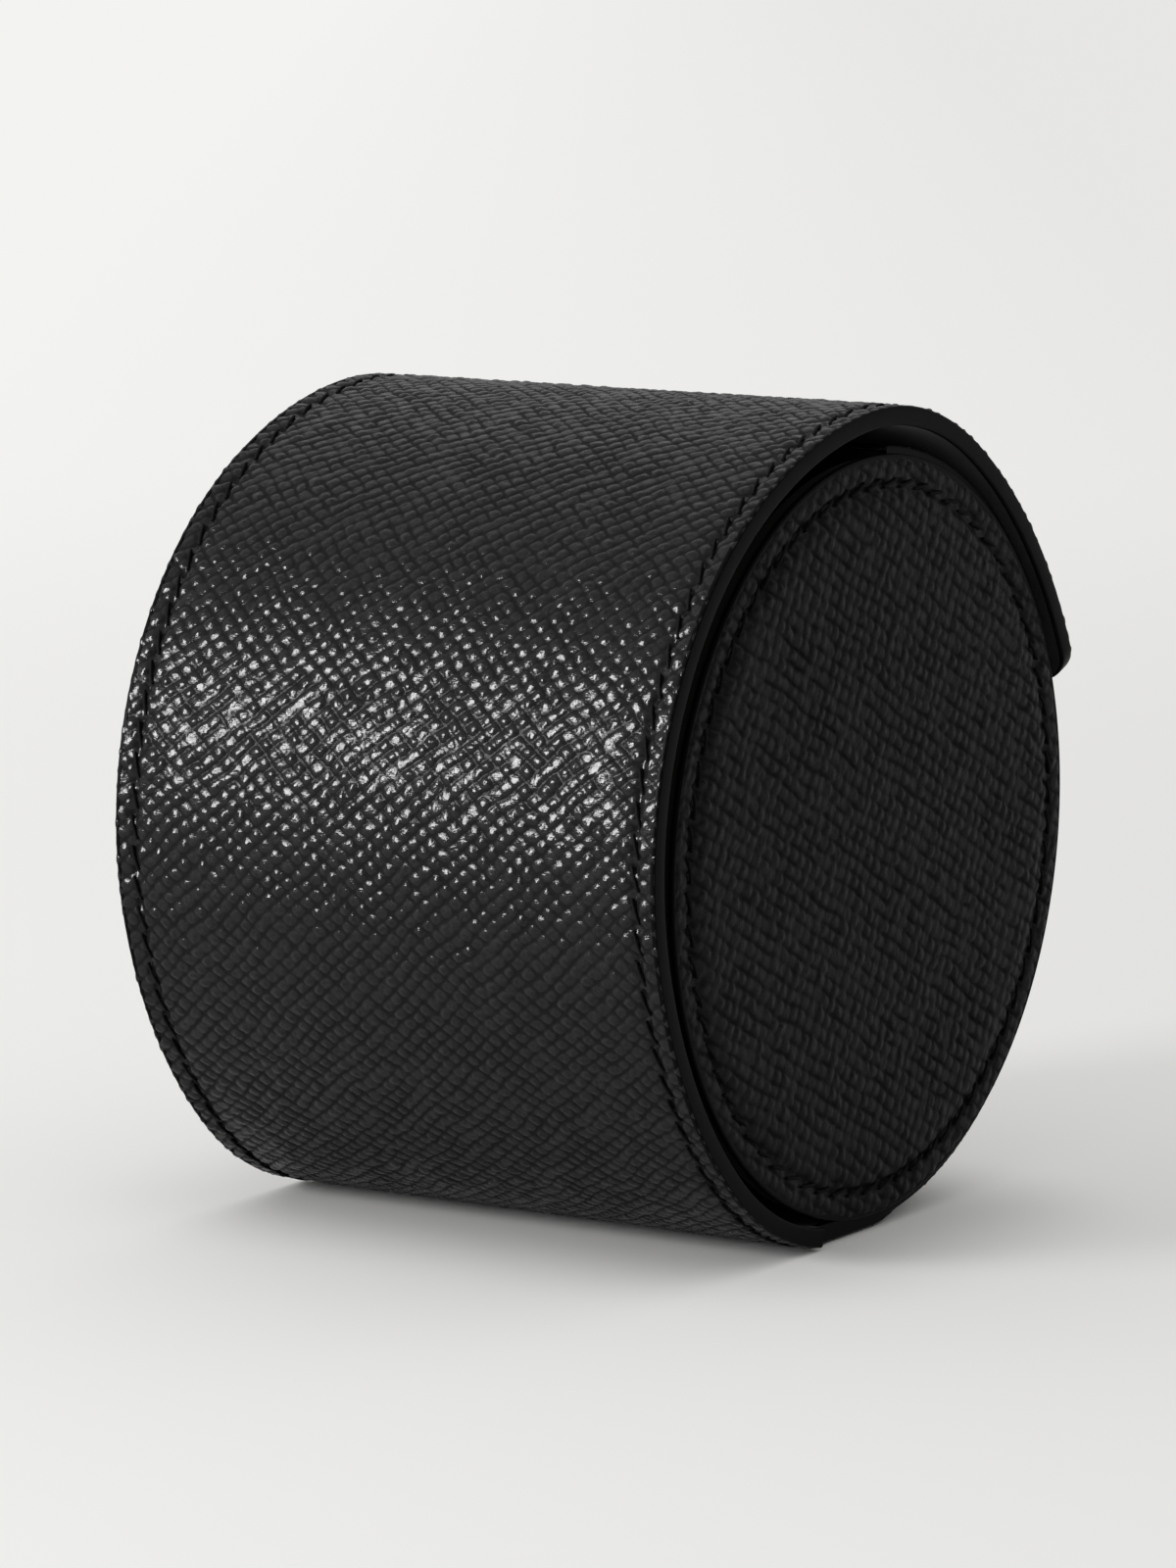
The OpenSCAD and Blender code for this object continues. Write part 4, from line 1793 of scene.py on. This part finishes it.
@dataclass
class Studio:
    """Pale floor and surroundings, soft lamps and the camera of the photograph.

    The floor glows by the distance from a box round the foot of the roll: a near share of the glow sets in
    over shadow_lift_span and paints light into the cast shadow beside the roll, and the rest sets in over
    far_span, so that the contact shadow at the foot stays.
    """

    azimuth: float = 32.3
    elevation: float = 9.0
    distance: float = 723.5 * MM
    lens: float = 160.0
    sensor: float = 36.0
    target: tuple[float, float, float] = (0.0, 0.0, AXIS_H)
    picture: tuple[int, int] = (1200, 1600)
    target_px: tuple[float, float] = (626.0, 829.0)
    floor_r: float = 6.0
    floor_gap: float = 0.02 * MM
    # Painted light and shade on the floor: its colour runs from lighter on the left to darker on the right,
    # standing in for light that falls off across it.
    painted_light_left: tuple[float, ...] = (0.9, 0.895, 0.88, 1)
    painted_shade_right: tuple[float, ...] = (0.8, 0.795, 0.785, 1)
    painted_shade_reach: float = 0.15
    foot_middle: tuple[float, float, float] = (0, -4 * MM, 0)
    foot_half: tuple[float, float, float] = (28 * MM, 14 * MM, 1)
    # Painted light: this share of the floor's glow lifts the cast shadow beside the roll.
    shadow_lift_glow: float = 0.36
    shadow_lift_span: tuple[float, float] = (3 * MM, 28 * MM)
    far_span: tuple[float, float] = (80 * MM, 700 * MM)
    world_tone: tuple[float, ...] = (0.9, 0.9, 0.9, 1)
    world_front: float = 0.1
    world_back: float = 0.5
    world_turn: tuple[float, float] = (-0.5, 0.8)
    lamps: tuple[Lamp, ...] = (
        Lamp("ceiling", (-1.5, 0.8, 3.0), (15.0, 16.0), 410.0, (-1.5, 0.8, 0.0)),
        Lamp("front_left", (-0.64, -1.0, 0.43), (0.4, 0.48), 11.0, (0.0, 0.0, AXIS_H)),
        Lamp("leather_light", (-0.656, -1.025, 0.44), (0.4, 0.48), 16.0, (0.0, 0.0, AXIS_H), on_floor=False),
    )

    def camera(self) -> None:
        """Makes the camera at the photograph's viewing angle."""
        data = bpy.data.cameras.new("camera")
        data.lens, data.sensor_width, data.sensor_fit = self.lens, self.sensor, "AUTO"
        wide, high = self.picture
        longest = max(self.picture)
        data.shift_x = (wide / 2 - self.target_px[0]) / longest
        data.shift_y = (self.target_px[1] - high / 2) / longest
        data.clip_start, data.clip_end = 0.05, 50.0
        a, e = math.radians(self.azimuth), math.radians(self.elevation)
        back = Vector((math.sin(a) * math.cos(e), -math.cos(a) * math.cos(e), math.sin(e)))
        obj = bpy.data.objects.new("camera", data)
        obj.location = Vector(self.target) + back * self.distance
        obj.rotation_mode = "QUATERNION"
        obj.rotation_quaternion = (-back).to_track_quat("-Z", "Y")
        bpy.context.scene.collection.objects.link(obj)
        bpy.context.scene.camera = obj

    def floor(self) -> bpy.types.Object:
        """Round pale floor that the whole picture rests on.

        Returns:
            The floor.
        """
        turn = np.linspace(0, 2 * math.pi, 96, endpoint=False)
        low = np.full(len(turn), -self.floor_gap)
        points = np.stack([self.floor_r * np.cos(turn), self.floor_r * np.sin(turn), low], axis=1)
        obj = make_mesh("floor", points, [np.arange(len(turn))[None]])
        obj.data.materials.append(self.floor_material())
        return obj

    def floor_material(self) -> bpy.types.Material:
        """Pale material of the floor, whose glow shows to camera, glossy and transmission rays.

        Near the roll the glow is painted light that lifts the cast shadow, in view and in the leather's
        reflections.

        Returns:
            The new material.
        """
        material = bpy.data.materials.new("pale_floor")
        material.use_nodes = True
        g, nodes = Graph(material.node_tree), material.node_tree.nodes
        here = g.add("ShaderNodeTexCoord").outputs["Object"]
        # Painted shade: the floor's colour darkens from left to right across the view.
        a = math.radians(self.azimuth)
        side = self.dot(g, here, (math.cos(a), math.sin(a), 0))
        side = g.add("ShaderNodeMapRange", {0: side, 1: -self.painted_shade_reach, 2: self.painted_shade_reach}).outputs[0]
        tone = g.mix(side, self.painted_light_left, self.painted_shade_right)
        g.feed(nodes["Principled BSDF"], {"Base Color": tone, "Roughness": 0.9, "Specular IOR Level": 0.1})
        # Painted light: near the roll the glow lifts the cast shadow, and glossy rays see it, so the leather
        # reflects a glowing floor.
        away = self.away_from_foot(g, here)
        near = self.ramp(g, away, self.shadow_lift_span, (0.0, self.shadow_lift_glow))
        far = self.ramp(g, away, self.far_span, (0.0, 1 - self.shadow_lift_glow))
        seen = self.seen_by(g, "Camera", "Glossy", "Transmission")
        share = g.math("MULTIPLY", g.math("ADD", near, far), seen)
        glow = g.add("ShaderNodeEmission", {"Color": tone}).outputs[0]
        plain = nodes["Principled BSDF"].outputs[0]
        mixed = g.add("ShaderNodeMixShader", {0: share, 1: plain, 2: glow}).outputs[0]
        g.feed(nodes["Material Output"], {"Surface": mixed})
        return material

    def away_from_foot(self, g: Graph, here: Feed) -> bpy.types.NodeSocket:
        """Distance from the box round the foot of the roll.

        Args:
            g: the graph to build in.
            here: the place on the floor.

        Returns:
            The distance in metres, 0 inside the box.
        """
        steps = (
            ("SUBTRACT", {1: self.foot_middle}),
            ("ABSOLUTE", {}),
            ("SUBTRACT", {1: self.foot_half}),
            ("MAXIMUM", {1: (0, 0, 0)}),
        )
        for operation, values in steps:
            here = g.add("ShaderNodeVectorMath", {0: here} | values, operation=operation).outputs[0]
        return g.add("ShaderNodeVectorMath", {0: here}, operation="LENGTH").outputs["Value"]

    @staticmethod
    def dot(g: Graph, a: Feed, b: Feed) -> bpy.types.NodeSocket:
        """Dot product of two vectors."""
        return g.add("ShaderNodeVectorMath", {0: a, 1: b}, operation="DOT_PRODUCT").outputs["Value"]

    @staticmethod
    def ramp(
        g: Graph, value: Feed, span: tuple[float, float], to: tuple[float, float]
    ) -> bpy.types.NodeSocket:
        """Smooth ramp.

        Args:
            g: the graph to build in.
            value: what the ramp follows.
            span: the values at which it starts and ends.
            to: its results there.

        Returns:
            The result.
        """
        values = {0: value, 1: span[0], 2: span[1], 3: to[0], 4: to[1]}
        return g.add("ShaderNodeMapRange", values, interpolation_type="SMOOTHSTEP").outputs[0]

    @staticmethod
    def seen_by(g: Graph, *rays: str) -> bpy.types.NodeSocket:
        """Tells kinds of rays apart.

        Args:
            g: the graph to build in.
            *rays: names of the kinds that count.

        Returns:
            1 for a ray of one of these kinds, and 0 for any other.
        """
        path = g.add("ShaderNodeLightPath").outputs
        seen = path[f"Is {rays[0]} Ray"]
        for ray in rays[1:]:
            seen = g.math("MAXIMUM", seen, path[f"Is {ray} Ray"])
        return seen

    def world(self) -> None:
        """Surroundings that light the roll from behind more than from the camera's side, and look pale."""
        world = bpy.data.worlds.new("studio")
        world.use_nodes = True
        g = Graph(world.node_tree)
        around = g.add("ShaderNodeTexCoord").outputs["Generated"]
        a = math.radians(self.azimuth)
        ahead = self.dot(g, around, (-math.sin(a), math.cos(a), 0))
        strength = self.ramp(g, ahead, self.world_turn, (self.world_front, self.world_back))
        shown = g.math("MAXIMUM", strength, self.seen_by(g, "Camera", "Transmission"))
        g.feed(world.node_tree.nodes["Background"], {"Color": self.world_tone, "Strength": shown})
        bpy.context.scene.world = world

    def build(self) -> None:
        """Sets up the studio."""
        bpy.context.scene.view_settings.view_transform = "Standard"
        floor = self.floor()
        self.world()
        for lamp in self.lamps:
            lamp.light(floor)
        self.camera()


def main() -> None:
    """Builds the studio and every sub-assembly in order, and reports each piece."""
    logging.basicConfig(level=logging.INFO, format="%(name)s %(message)s")
    Studio().build()
    finishes = Finishes()
    stitches = StitchTree(finishes.thread)
    strip = Strip(Section(), finishes, stitches)
    ends = [EndDisc(side, finishes, stitches) for side in Side]
    for assembly in (Cover(strip), Tray(strip), *ends, Cushion(finishes)):
        for piece in assembly.build():
            LOG.info("%s: %d faces", piece.name, len(piece.data.polygons))


if __name__ == "__main__":
    main()
